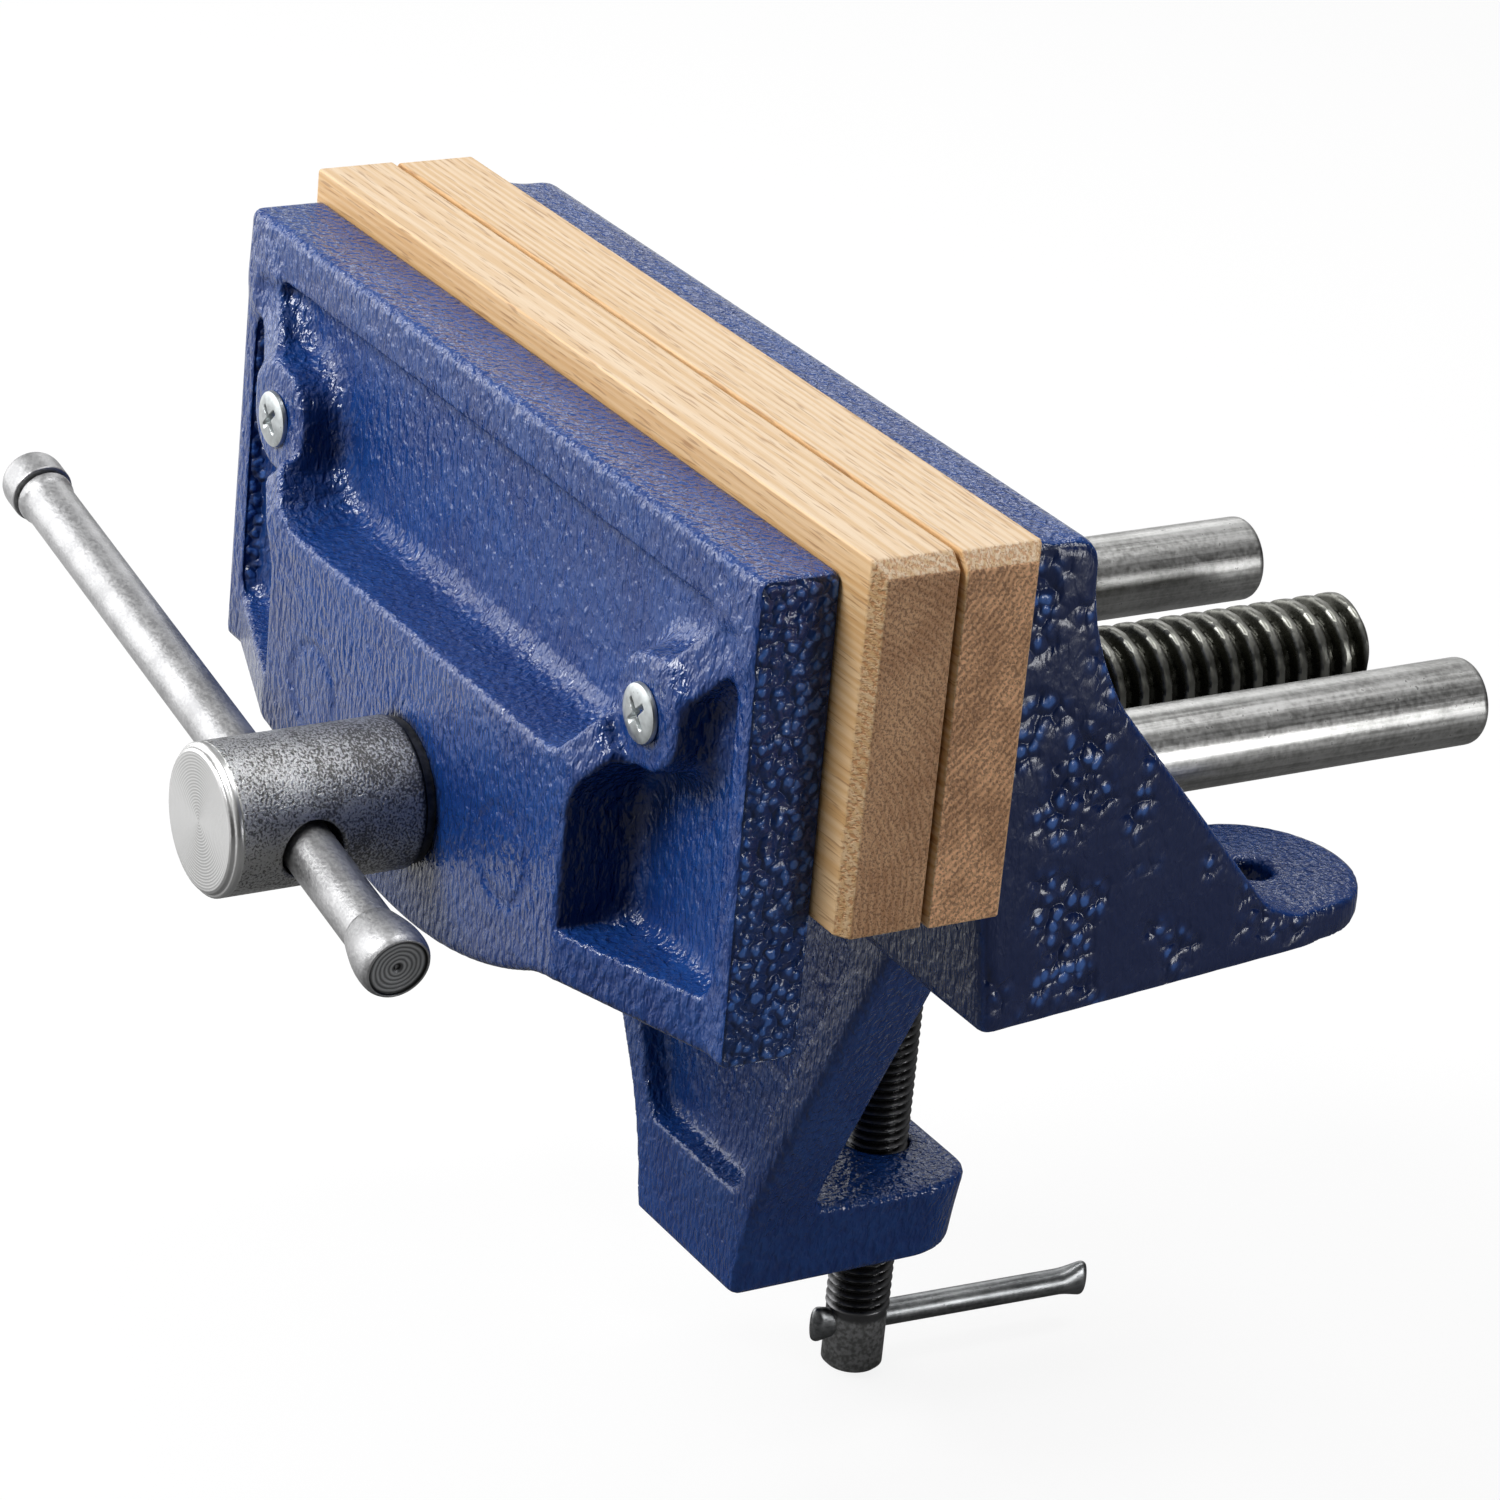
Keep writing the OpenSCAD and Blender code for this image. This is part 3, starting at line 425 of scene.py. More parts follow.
def scuffedSteel(name, steel):
    # drawn steel: fine lines along the stock, cloudy smudges and small dark pits
    look = Finish(name)
    fine = look.noise(look.place(steel["grain"]), 1.0, 3.0, 0.6)
    smudge = look.noise(look.place(), scuffs["smudge"], 4.0, 0.6)
    speck = look.noise(look.place(), scuffs["speck"], 2.0, 0.6)
    share = look.ramp(fine * 0.35 + smudge * 0.4 + speck * 0.25, 0.36, 0.62)
    pits = look.ramp(speck, 0.66, 0.74) * 0.6
    pale = look.tint(share, steel["dark"], steel["bright"])
    look.set("Base Color", look.tint(pits, pale, [scuffs["pitShade"] * value for value in steel["dark"]]))
    look.set("Metallic", look.ramp(smudge, 0.2, 0.5, 0.85, 1.0))
    look.set("Roughness", look.ramp(fine * 0.5 + speck * 0.5, 0.3, 0.7, *steel["rough"]))
    look.bump(fine * 0.6 + speck * 0.4, scuffs["bumpDepth"], 0.5)
    return look.material


threads = {"smudge": 260, "speck": 1200, "wearStray": 0.0005, "wearBelow": 0.0006, "wearAbove": 0.0002,
           "bareStray": 0.002, "bareFade": 0.0012, "bareDark": (0.30, 0.30, 0.30),
           "barePale": (0.60, 0.605, 0.61), "rough": (0.22, 0.42), "bumpDepth": 0.00008,
           "main": {"crest": 0.010, "groove": (0.018, 0.018, 0.012), "bright": (0.22, 0.22, 0.20),
                    "bareFrom": None},
           "clamp": {"crest": 0.006, "groove": (0.012, 0.012, 0.012), "bright": (0.15, 0.15, 0.155),
                     "bareFrom": 0.0126}}


def oiledThread(name, base, axis, screw):
    # dark oil in the grooves and worn crests, by the distance from the screw's axis; an end may be bare
    t = threads
    look = Finish(name)
    along, reach = look.around(base, axis)
    smudge = look.noise(look.place(), t["smudge"], 3.0)
    speck = look.noise(look.place(), t["speck"])
    crest, bareFrom = screw["crest"], screw["bareFrom"]
    worn = look.ramp(reach + smudge * t["wearStray"], crest - t["wearBelow"], crest + t["wearAbove"])
    colour = look.tint(worn, screw["groove"], screw["bright"])
    if bareFrom is not None:
        bare = look.ramp(along + smudge * t["bareStray"], bareFrom, bareFrom - t["bareFade"])
        metal = look.tint(look.ramp(speck, 0.35, 0.65), t["bareDark"], t["barePale"])
        colour = look.tint(bare, colour, metal)
    look.set("Base Color", colour)
    look.set("Metallic", look.ramp(worn + smudge * 0.2, 0.0, 0.8, 0.6, 1.0))
    look.set("Roughness", look.ramp(speck * 0.6 + worn * 0.2, 0.1, 0.7, *t["rough"]))
    look.bump(speck, t["bumpDepth"], 0.5)
    return look.material


forged = {"skin": (0.15, 0.145, 0.135), "skinPale": (0.58, 0.58, 0.57), "face": (0.70, 0.70, 0.695),
          "faceDull": (0.54, 0.54, 0.535), "grime": (0.012, 0.011, 0.009), "cloud": (90, 160, 160),
          "speck": 2300, "ringScale": 12000, "faceFade": (0.0024, 0.0020), "wearIn": 0.004,
          "wear": (0.035, -0.015), "grimeStray": 0.0016, "grimeHalf": 0.0006, "paintedSheenTurn": 1.2,
          "skinRough": 0.38, "faceRough": 0.32, "bumpDepth": 0.0004}


def headSteel(name, base, frontY, backY):
    # rough forged skin with fine specks on the side, grime at the back, and a bright face turned in rings that
    # carries a painted highlight in two broad sectors
    f = forged
    look = Finish(name, Metallic=1.0)
    _, reach = look.around(base, (0, 1, 0))
    x, y, z = look.parts(look.place())
    front = look.ramp(y, *[frontY + fade for fade in f["faceFade"]])
    rings = look.wave(reach * f["ringScale"])
    cloud = look.noise(look.place(f["cloud"]), 1.0, 3.0, 0.6)
    speck = look.noise(look.place((0.8, 1, 1)), f["speck"], 3.0, 0.65)
    wear = look.ramp(y, frontY + f["wearIn"], backY - f["wearIn"], *f["wear"])
    share = look.ramp(cloud * 0.25 + speck * 0.75 + wear, 0.44, 0.56)
    side = look.tint(share, f["skin"], f["skinPale"])
    dirt = look.ramp(y + cloud * f["grimeStray"], backY - f["grimeHalf"], backY + f["grimeHalf"])
    side = look.tint(dirt, side, f["grime"])
    # painted highlight: the turned face is painted lighter in two broad sectors, for the reflection of its
    # turning marks
    angle = look.maths("ARCTAN2", z - base[2], x - base[0])
    paintedSheen = look.wave(angle * 2 + f["paintedSheenTurn"])
    face = look.tint(paintedSheen, f["faceDull"], f["face"])
    look.set("Base Color", look.tint(front, side, face))
    look.set("Roughness", look.ramp(front, 0.0, 1.0, f["skinRough"], f["faceRough"]))
    look.bump(front * rings * 0.10 + (1 - front) * (speck * 0.8 + cloud * 0.3), f["bumpDepth"], 0.8)
    return look.material


satin = {"bright": (0.44, 0.44, 0.445), "dull": (0.31, 0.31, 0.315), "faceLight": (0.58, 0.59, 0.60),
         "faceDark": (0.19, 0.195, 0.20), "punch": (0.02, 0.02, 0.02), "cloud": 170, "speck": 1500,
         "ringScale": 8000, "ringStray": 7.0, "faceIn": (0.0011, 0.0007), "faceEdge": 0.0001,
         "punchR": (0.0010, 0.0005), "grooveIn": (0.0006, 0.0002), "rough": (0.40, 0.52),
         "bumpDepth": 0.00012}


def handleSteel(name, base, axis, near, faceR):
    # satin bar with faint clouds; the knob's face is turned in rings that are painted light and dark for their
    # reflection, round a centre punch that, like the groove round the face's edge, is painted dark for shade
    h = satin
    look = Finish(name, Metallic=1.0)
    along, away = look.around(base, axis)
    cloud = look.noise(look.place(), h["cloud"], 3.0)
    speck = look.noise(look.place(), h["speck"], 2.0, 0.6)
    plain = look.tint(look.ramp(speck * 0.5 + cloud * 0.5, 0.36, 0.62), h["dull"], h["bright"])
    onFace = look.ramp(along, *[near - depth for depth in h["faceIn"]])
    face = onFace * look.ramp(away, faceR + h["faceEdge"], faceR - h["faceEdge"])
    # painted highlight: the turned rings are painted light and dark for the reflection of the turning marks
    rings = look.wave(away * h["ringScale"] + cloud * h["ringStray"])
    ringGlint = rings * look.ramp(cloud, 0.3, 0.7, 0.5, 1.0)
    colour = look.tint(face, plain, look.tint(ringGlint, h["faceDark"], h["faceLight"]))
    # painted shade: the centre punch and the groove round the face's edge are painted near black
    groove = look.ramp(away, *[faceR - depth for depth in h["grooveIn"]])
    hollowShade = look.bigger(look.ramp(away, *h["punchR"]), groove) * face
    look.set("Base Color", look.tint(hollowShade, colour, h["punch"]))
    look.set("Roughness", look.ramp(speck, 0.3, 0.7, *h["rough"]))
    look.bump(speck * (1 - face) + face * rings * 0.6, h["bumpDepth"], 0.6)
    return look.material


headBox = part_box("screw_head")
clampFoot = middle("clamp_screw")
clampFoot.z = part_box("clamp_screw")[0].z

looks = {
    "frontEnamel": blueEnamel("blueEnamelFront", enamel["front"]),
    "rearEnamel": blueEnamel("blueEnamelRear", enamel["rear"]),
    "frontWood": linerWood("linerWoodFront", wood["front"]),
    "rearWood": linerWood("linerWoodRear", wood["rear"]),
    "zinc": scuffedSteel("zincSteel", steels["zinc"]),
    "rod": scuffedSteel("rodSteel", steels["rod"]),
    "tommy": scuffedSteel("tommySteel", steels["tommy"]),
    "head": headSteel("headSteel", middle("screw_head"), headBox[0].y, headBox[1].y),
    "thread": oiledThread("oiledSteel", middle("main_screw"), (0, 1, 0), threads["main"]),
    "clampThread": oiledThread("clampSteel", clampFoot, (0, 0, 1), threads["clamp"]),
    "iron": scuffedSteel("nutIron", steels["iron"]),
    "black": scuffedSteel("blackSteel", steels["black"]),
}
print("finishes made:", len(looks))


# Front jaw: distances q are measured from the bench edge towards the handle

frontJaw = {"topHalf": 90.0, "footHalf": 91.5, "top": 84.0, "foot": 1.5, "back": 53.7, "floor": 63.7,
            "rim": 67.7, "boss": 72.7, "face": 78.2, "bulgeHalf": 50.0, "bulgeDrop": 12.7, "bulgeBlend": 2.5,
            "pocketHalf": 85.0, "pocketLow": 11.3, "pocketTop": 74.6, "pocketCorner": 4.0, "floorFillet": 3.2,
            "plateHalf": 54.0, "plateTop": 40.0, "plateCorner": 3.0, "draft": 0.05, "ribRun": (31.0, 34.6),
            "ribEnd": 39.0, "ribIn": 3.5, "ribOut": 4.3, "bossPlace": (66.1, 53.3), "bossR": 9.8,
            "blend": 3.4, "floorBlend": 4.4, "edgeRound": 1.7, "lipRound": 0.75, "backRound": 1.0,
            "rodPlace": (35.1, 15.2), "rodR": 8.0, "spotRound": 2.2, "ringDepth": 0.6, "ringHalf": 1.0,
            "step": 0.72}


def frontField(x, y, z):
    s = frontJaw
    q = -y
    span = np.abs(x)
    # outline seen from the front, with the bulge under the centre
    lean = (s["footHalf"] - s["topHalf"]) / (s["top"] - s["foot"])
    ends = span - s["topHalf"] - lean * (s["top"] - z)
    outline = meet(meet(ends, z - s["top"], s["edgeRound"]), s["foot"] - z, s["edgeRound"])
    bulgeR = (s["bulgeHalf"] ** 2 + s["bulgeDrop"] ** 2) / (2 * s["bulgeDrop"])
    bulge = np.hypot(x, z - s["foot"] + s["bulgeDrop"] - bulgeR) - bulgeR
    outline = join(outline, np.maximum(bulge, z - s["foot"] - s["edgeRound"]), s["bulgeBlend"])
    # rim with its sunken pocket
    opening = s["draft"] * (q - s["floor"])
    pocket = meet(span - s["pocketHalf"] - opening, z - s["pocketTop"] - opening, s["pocketCorner"])
    pocket = meet(pocket, s["pocketLow"] - z - opening, s["pocketCorner"])
    rim = cut(q - s["rim"], meet(pocket, s["floor"] - q, s["floorFillet"]), s["lipRound"])
    # centre plate, corner ribs and screw bosses
    sink = s["draft"] * (s["face"] - q)
    plate = meet(span - s["plateHalf"] - sink, z - s["plateTop"] - sink, s["plateCorner"])
    plate = meet(plate, q - s["face"], s["lipRound"])
    run = np.array(s["ribRun"]) / np.hypot(*s["ribRun"])
    along = (span - s["plateHalf"]) * run[0] + (z - s["plateTop"]) * run[1]
    across = np.abs((span - s["plateHalf"]) * run[1] - (z - s["plateTop"]) * run[0])
    share = along / s["ribEnd"]
    ribTop = s["face"] + (s["rim"] - s["face"]) * share
    rib = across - s["ribIn"] - (s["ribOut"] - s["ribIn"]) * share - s["draft"] * (ribTop - q)
    rib = np.maximum(meet(rib, q - ribTop, s["lipRound"]), -along - s["ribIn"])
    bossX, bossZ = s["bossPlace"]
    fromBoss = np.hypot(span - bossX, z - bossZ)
    boss = meet(fromBoss - s["bossR"] - s["draft"] * (s["boss"] - q), q - s["boss"], s["lipRound"])
    spot = np.maximum(fromBoss - s["bossR"] + s["lipRound"], s["boss"] - q)
    raised = cut(join(join(plate, rib, s["blend"]), boss, s["blend"]), spot, s["spotRound"])
    # bands under the side pockets slope from the plate out to the rim
    fall = np.clip((span - s["plateHalf"]) / (s["pocketHalf"] - s["plateHalf"]), 0, 1)
    bandTop = s["face"] + (s["rim"] - s["face"]) * fall
    band = meet(z - s["pocketLow"] + opening, q - bandTop, s["lipRound"])
    body = meet(np.minimum(join(rim, raised, s["floorBlend"]), band), outline, s["edgeRound"])
    body = meet(body, s["back"] - q, s["backRound"])
    # faint ring where the painted rod ends show
    rodX, rodZ = s["rodPlace"]
    ring = np.abs(np.hypot(span - rodX, z - rodZ) - s["rodR"])
    return np.maximum(body, q - s["face"] + s["ringDepth"] * np.clip(1 - ring / s["ringHalf"], 0, 1))


low = (-frontJaw["footHalf"], -frontJaw["face"], frontJaw["foot"] - frontJaw["bulgeDrop"])
high = (frontJaw["footHalf"], -frontJaw["back"], frontJaw["top"])
points, faces = skin(frontField, low, high, frontJaw["step"])
addPiece("front_jaw_casting", points, faces, looks["frontEnamel"], "moving_jaw", "blue_enamel",
         ["front_jaw"], 60)


# Rear jaw

rearJaw = {"topHalf": 90.0, "footHalf": 94.0, "top": 84.0, "front": -23.5, "back": -5.5, "relief": 3.2,
           "reliefTop": 26.0, "wallTop": 62.4, "wallRun": 48.6, "wallT": 9.0, "outerBack": 85.15,
           "earPlace": (66.4, 50.2), "earR": 18.8, "earHole": 4.0, "baseT": 7.0, "guidePlace": (35.1, 15.2),
           "guideR": 14.0, "guideBack": 23.5, "rodBore": 8.25, "channel": 12.5, "screwZ": 11.8,
           "nutBoss": 19.5, "nutBore": 16.1, "nutFlange": 12.0, "sleeveBoss": 15.5, "sleeveBore": 12.1,
           "lockHalf": 7.5, "lockBack": 4.8, "lockTop": 35.8, "armT": 14.2, "armRoot": 58.3, "armTip": 18.0,
           "armTaper": 78.0, "armDrop": 90.4, "armFrame": 8.0, "armRecess": 5.0, "armBend": 6.0,
           "lugTop": -74.0, "lugBack": 35.9, "lugCorner": 12.0, "clampPlace": (0.0, 25.2), "clampBore": 6.3,
           "edge": 2.2, "softEdge": 1.7, "lip": 0.9, "topBack": 5.0, "fillet": 5.0, "wallFillet": 9.0,
           "boreFillet": 3.0, "step": 1.06}


def rearField(x, y, z):
    s = rearJaw
    span = np.abs(x)
    earX, earY = s["earPlace"]
    # plate that carries the liner, and end walls with a sloping top edge
    plate = meet(y - s["back"], z - s["top"], s["topBack"])
    outer = s["footHalf"] + (s["outerBack"] - s["footHalf"]) * (y - s["front"]) / (earY - s["front"])
    slope = np.array([s["wallTop"] - s["baseT"], s["wallRun"]])
    slope = slope / np.hypot(*slope)
    over = (y - s["back"]) * slope[0] + (z - s["wallTop"]) * slope[1]
    wall = meet(outer - s["wallT"] - span, over, s["edge"])
    upper = join(plate, wall, s["wallFillet"])
    # base with its ears
    level = np.abs(z - s["baseT"] / 2) - s["baseT"] / 2
    gap = np.maximum(span - earX + s["earR"], s["guideBack"] - y)
    slab = cut(np.maximum(level, y - earY), gap, s["softEdge"])
    ear = meet(np.hypot(span - earX, y - earY) - s["earR"], level, s["softEdge"])
    casting = join(upper, np.minimum(slab, ear), s["fillet"])
    # guides for the rods, sleeve of the nut and boss of its lock screw
    guideX, guideZ = s["guidePlace"]
    fromRod = np.hypot(span - guideX, z - guideZ)
    fromScrew = np.hypot(x, z - s["screwZ"])
    guide = meet(fromRod - s["guideR"], y - s["guideBack"], s["softEdge"])
    sleeve = np.maximum(fromScrew - s["sleeveBoss"], y - s["back"])
    lock = meet(meet(span - s["lockHalf"], z - s["lockTop"], s["edge"]), y - s["lockBack"], s["edge"])
    lock = np.maximum(lock, s["screwZ"] - z)
    for boss in (guide, sleeve, lock):
        casting = join(casting, boss, s["boreFillet"])
    # outer faces of the upper casting
    fall = s["relief"] * np.clip((s["reliefTop"] - z) / s["reliefTop"], 0, 1)
    ends = span - s["topHalf"] - (s["footHalf"] - s["topHalf"]) * (s["top"] - z) / s["top"]
    casting = meet(casting, s["front"] + fall - y, s["edge"])
    casting = meet(meet(casting, np.maximum(span - outer, ends), s["edge"]), -z, s["softEdge"])
    # clamp arm with a sunken front, and the lug
    grow = (s["armRoot"] - s["armTip"]) / s["armTaper"]
    taper = (span - s["armTip"] - grow * (z + s["armTaper"])) / np.hypot(1, grow)
    side = join(taper, span - s["armTip"], s["armBend"])
    arm = join(y, z - s["lugTop"], s["boreFillet"])
    arm = meet(arm, meet(side, y - s["lugBack"], s["lugCorner"]), s["softEdge"])
    arm = meet(meet(arm, -s["armT"] - y, s["softEdge"]), -s["armDrop"] - z, s["softEdge"])
    sunk = meet(side + s["armFrame"], z + s["armFrame"], s["fillet"])
    sunk = meet(sunk, s["lugTop"] + s["armFrame"] / 2 - z, s["fillet"])
    arm = cut(arm, meet(sunk, y + s["armT"] - s["armRecess"], s["edge"]), s["lip"])
    nutBoss = np.maximum(fromScrew - s["nutBoss"], np.maximum(y, -s["armT"] - y))
    casting = join(casting, np.minimum(np.maximum(arm, z - s["baseT"] / 2), nutBoss), s["boreFillet"])
    # channel behind the nut, and all bores
    trench = np.maximum(np.abs(z) - s["guideBack"], np.maximum(span - s["channel"], -y))
    casting = cut(casting, np.maximum(trench, z - s["screwZ"]), s["lip"])
    ahead = s["front"] - s["wallT"] - y
    casting = cut(casting, np.maximum(fromRod - s["rodBore"], ahead), s["lip"])
    casting = cut(casting, np.maximum(fromScrew - s["nutBore"], -s["nutFlange"] - y), s["lip"])
    casting = cut(casting, np.maximum(fromScrew - s["sleeveBore"], ahead), s["lip"])
    clampX, clampY = s["clampPlace"]
    casting = cut(casting, np.maximum(np.hypot(x - clampX, y - clampY) - s["clampBore"], z), s["lip"])
    return cut(casting, np.hypot(span - earX, y - earY) - s["earHole"] + 0 * z, s["lip"])


low = (-rearJaw["footHalf"], rearJaw["front"], -rearJaw["armDrop"])
high = (rearJaw["footHalf"], rearJaw["earPlace"][1] + rearJaw["earR"], rearJaw["top"])
points, faces = skin(rearField, low, high, rearJaw["step"])
addPiece("rear_jaw_casting", points, faces, looks["rearEnamel"], "root", "blue_enamel", ["rear_jaw"], 60)


# Wooden liners: boards with chamfered ends, square towards each other

liners = {"chamfer": 2.5, "sideChamfer": 1.8, "jointIn": 0.1, "edge": 0.4, "edgeSteps": 3, "edgeAngle": 20}


def linerBoard(name, node, look, body, jointHigh):
    low, high = [np.array(corner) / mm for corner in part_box(node)]
    c = liners["chamfer"]
    reach = np.array([low[0], low[0] + c, high[0] - c, high[0]])
    ends = np.array([1, 0, 0, 1])
    jawIn, jointIn = liners["sideChamfer"] * ends, liners["jointIn"] + 0 * ends
    lowY = low[1] + (jawIn if jointHigh else jointIn)
    highY = high[1] - (jointIn if jointHigh else jawIn)
    top = high[2] - c * ends
    foot = low[2] + 0 * ends
    corners = [(reach, lowY, foot), (reach, highY, foot), (reach, highY, top), (reach, lowY, top)]
    points = np.array(corners).transpose(2, 0, 1).reshape(-1, 3)
    faces = gridFaces(4, 4).tolist() + [[0, 1, 2, 3], [12, 13, 14, 15]]
    piece = addPiece(name, points, np.array(faces), look, body, "liner_wood", [node], 30)
    bevel = piece.modifiers.new("edges", "BEVEL")
    bevel.width = liners["edge"] * mm
    bevel.segments = liners["edgeSteps"]
    bevel.limit_method = "ANGLE"
    bevel.angle_limit = math.radians(liners["edgeAngle"])
    bevel.harden_normals = True


linerBoard("front_liner_board", "front_liner", looks["frontWood"], "moving_jaw", True)
linerBoard("rear_liner_board", "rear_liner", looks["rearWood"], "root", False)


# Liner screws: a domed head with a cross recess on a polar grid, then the shank

woodScrew = {"headR": 5.0, "lift": 1.2, "domeFall": 0.45, "rimLift": 0.2, "shankR": 2.25, "pointL": 3.0,
             "slotHalf": 0.42, "slotReach": 2.9, "slotDepth": 1.7, "slotTaper": (1.15, 0.2), "slotRise": 0.45,
             "slotEdge": 0.3, "slotEnd": 0.8, "frontL": 29.0, "rearL": 28.0, "rings": 40, "columns": 144}


def crossScrew(seat, out, length):
    s = woodScrew
    along, side, up = crossAxes(out)
    angle = np.linspace(0, 2 * np.pi, s["columns"], endpoint=False)
    # rings across the dome, then over its rim and back under it
    reach = np.concatenate([np.linspace(0, 0.93, s["rings"]), [0.97, 1.0, 1.0, 0.97]]) * s["headR"]
    dome = s["lift"] * (1 - s["domeFall"] * (reach / s["headR"]) ** 4)
    dome[-3:] = [s["lift"] * s["rimLift"], 0, 0]
    u, v = reach[:, None] * np.cos(angle), reach[:, None] * np.sin(angle)
    near, far = np.minimum(np.abs(u), np.abs(v)), np.maximum(np.abs(u), np.abs(v))
    share = far / s["slotReach"]
    half = s["slotHalf"] * (s["slotTaper"][0] - s["slotTaper"][1] * share)
    inSlot = np.clip((half - near) / s["slotEdge"] + 0.5, 0, 1)
    inSlot = inSlot * np.clip((s["slotReach"] - far) / s["slotEnd"], 0, 1)
    height = dome[:, None] - s["slotDepth"] * inSlot * (1 - s["slotRise"] * np.clip(share, 0, 1))
    shank = np.array([(-0.02, s["shankR"]), (s["pointL"] - length, s["shankR"]), (-length, 0)])
    height = np.concatenate([height, shank[:, :1] + 0 * angle])
    u = np.concatenate([u, shank[:, 1:] * np.cos(angle)])
    v = np.concatenate([v, shank[:, 1:] * np.sin(angle)])
    points = np.array(seat) + height[..., None] * along + u[..., None] * side + v[..., None] * up
    return points.reshape(-1, 3), gridFaces(len(height), len(angle))


def screwPair(name, node, body, y, out, length):
    bossX, bossZ = frontJaw["bossPlace"]
    shapes = [crossScrew((x, y, bossZ), out, length) for x in (-bossX, bossX)]
    addPiece(name, *merge(shapes), looks["zinc"], body, "zinc_steel", [node])


screwPair("front_cross_screws", "front_liner_screws", "moving_jaw", -frontJaw["boss"], (0, -1, 0),
          woodScrew["frontL"])
screwPair("rear_cross_screws", "rear_liner_screws", "root", rearJaw["back"], (0, 1, 0), woodScrew["rearL"])


# Guide rods, with eased ends

rods = {"r": 8.0, "front": -77.8, "back": 118.2, "ease": 1.6, "easeSteps": 7, "columns": 96}
rodX, rodZ = rearJaw["guidePlace"]
for side, label in ((-1, "left"), (1, "right")):
    length = rods["back"] - rods["front"]
    section = [(0, 0), (0, rods["r"]), (length, rods["r"]), (length, 0)]
    section = eased(section, rods["ease"], rods["easeSteps"])
    shape = turned(section, (side * rodX, rods["front"], rodZ), (0, 1, 0), rods["columns"])
    addPiece("guide_bar_" + label, *shape, looks["rod"], "moving_jaw", "rod_steel", ["guide_rod_" + label])


# Screws with a real helix: the radius falls in a groove that climbs one pitch a turn

mainScrew = {"r": 10.0, "depth": 2.4, "pitch": 5.0, "land": 0.28, "flank": 0.22, "spigot": (-92.0, 8.0),
             "neck": -79.9, "start": -42.0, "end": 117.5, "fade": (4.0, 1.5), "tipL": 2.0,
             "rowsPerTurn": 16, "columns": 96}
clampScrew = {"r": 6.0, "depth": 1.07, "pitch": 1.75, "land": 0.12, "flank": 0.40, "bottom": -121.4,
              "plainR": 5.75, "plainTop": -108.8, "footEase": 0.7, "shoulder": -37.2, "spigotR": 4.4,
              "spigotTop": -28.2, "fade": (1.0, 1.0), "rowsPerTurn": 12, "columns": 64}


def groove(phase, land, flank):
    # 0 on the crest and 1 in the root, along one pitch
    away = np.abs((phase % 1.0) - 0.5)
    return np.clip((land / 2 + flank - away) / flank, 0, 1)


def helix(s, start, end):
    # rows of radius along a threaded stretch, one column per angle; the groove fades out at both ends
    rows = np.arange(start, end, s["pitch"] / s["rowsPerTurn"])
    turn = np.linspace(0, 1, s["columns"], endpoint=False)
    shape = groove(rows[:, None] / s["pitch"] - turn, s["land"], s["flank"])
    fadeIn, fadeOut = s["fade"]
    fade = np.clip((rows - start) / fadeIn, 0, 1) * np.clip((end - rows) / fadeOut, 0, 1) ** 0.5
    return rows, s["r"] - s["depth"] * shape * fade[:, None]


def threaded(head, rows, radius, tail, base, along, side, up):
    # a threaded stretch between plain ends, which are rows of (length, radius)
    columns = radius.shape[1]
    head, tail = np.array(head), np.array(tail)
    length = np.concatenate([head[:, 0], rows, tail[:, 0]])
    radius = np.concatenate([np.repeat(head[:, 1:], columns, 1), radius, np.repeat(tail[:, 1:], columns, 1)])
    turn = np.linspace(0, 2 * np.pi, columns, endpoint=False)
    ring = np.array(side) * np.cos(turn)[:, None] + np.array(up) * np.sin(turn)[:, None]
    points = np.array(base) + length[:, None, None] * np.array(along) + radius[..., None] * ring
    return points.reshape(-1, 3), gridFaces(*radius.shape)


def mainThread():
    s = mainScrew
    rows, radius = helix(s, s["start"], s["end"])
    tip = np.clip((s["end"] - rows) / s["tipL"], 0, 1)
    radius = np.minimum(radius, s["r"] - s["depth"] * (1 - tip)[:, None])
    head = [(s["spigot"][0], 0), s["spigot"], (s["neck"], s["spigot"][1]), (s["neck"], s["r"])]
    tail = [(s["end"], s["r"] - s["depth"]), (s["end"], 0)]
    return threaded(head, rows, radius, tail, (0, 0, rearJaw["screwZ"]), (0, 1, 0), (0, 0, 1), (1, 0, 0))


def clampThread():
    s = clampScrew
    rows, radius = helix(s, s["plainTop"], s["shoulder"])
    foot = [(s["bottom"], 0), (s["bottom"], s["plainR"] - s["footEase"]),
            (s["bottom"] + s["footEase"], s["plainR"]), (s["plainTop"], s["plainR"])]
    tail = [(s["shoulder"], s["r"]), (s["shoulder"], s["spigotR"]), (s["spigotTop"], s["spigotR"]),
            (s["spigotTop"], 0)]
    return threaded(foot, rows, radius, tail, (*rearJaw["clampPlace"], 0), (0, 0, 1), (1, 0, 0), (0, 1, 0))


addPiece("main_thread", *mainThread(), looks["thread"], "spindle", "oiled_steel", ["main_screw"], 55)
addPiece("clamp_thread", *clampThread(), looks["clampThread"], "clamp_spindle", "black_steel",
         ["clamp_screw"], 55)


# Head of the main screw, with the tilted hole for the handle

screwHead = {"r": 13.1, "front": 115.7, "back": 79.9, "stepR": 12.2, "stepIn": 0.9, "frontRound": 0.5,
             "backRound": 0.6, "holeR": 5.5, "holeRound": 0.5, "barY": -100.7, "angle": 10.2, "sink": 0.55,
             "step": 0.32}
tilt = math.radians(screwHead["angle"])
barAxis = np.array([math.cos(tilt), 0, -math.sin(tilt)])
barUp = np.array([math.sin(tilt), 0, math.cos(tilt)])
holeBase = np.array([0, screwHead["barY"], rearJaw["screwZ"]])
barBase = holeBase - screwHead["sink"] * barUp  # the bar lies at the bottom of its hole


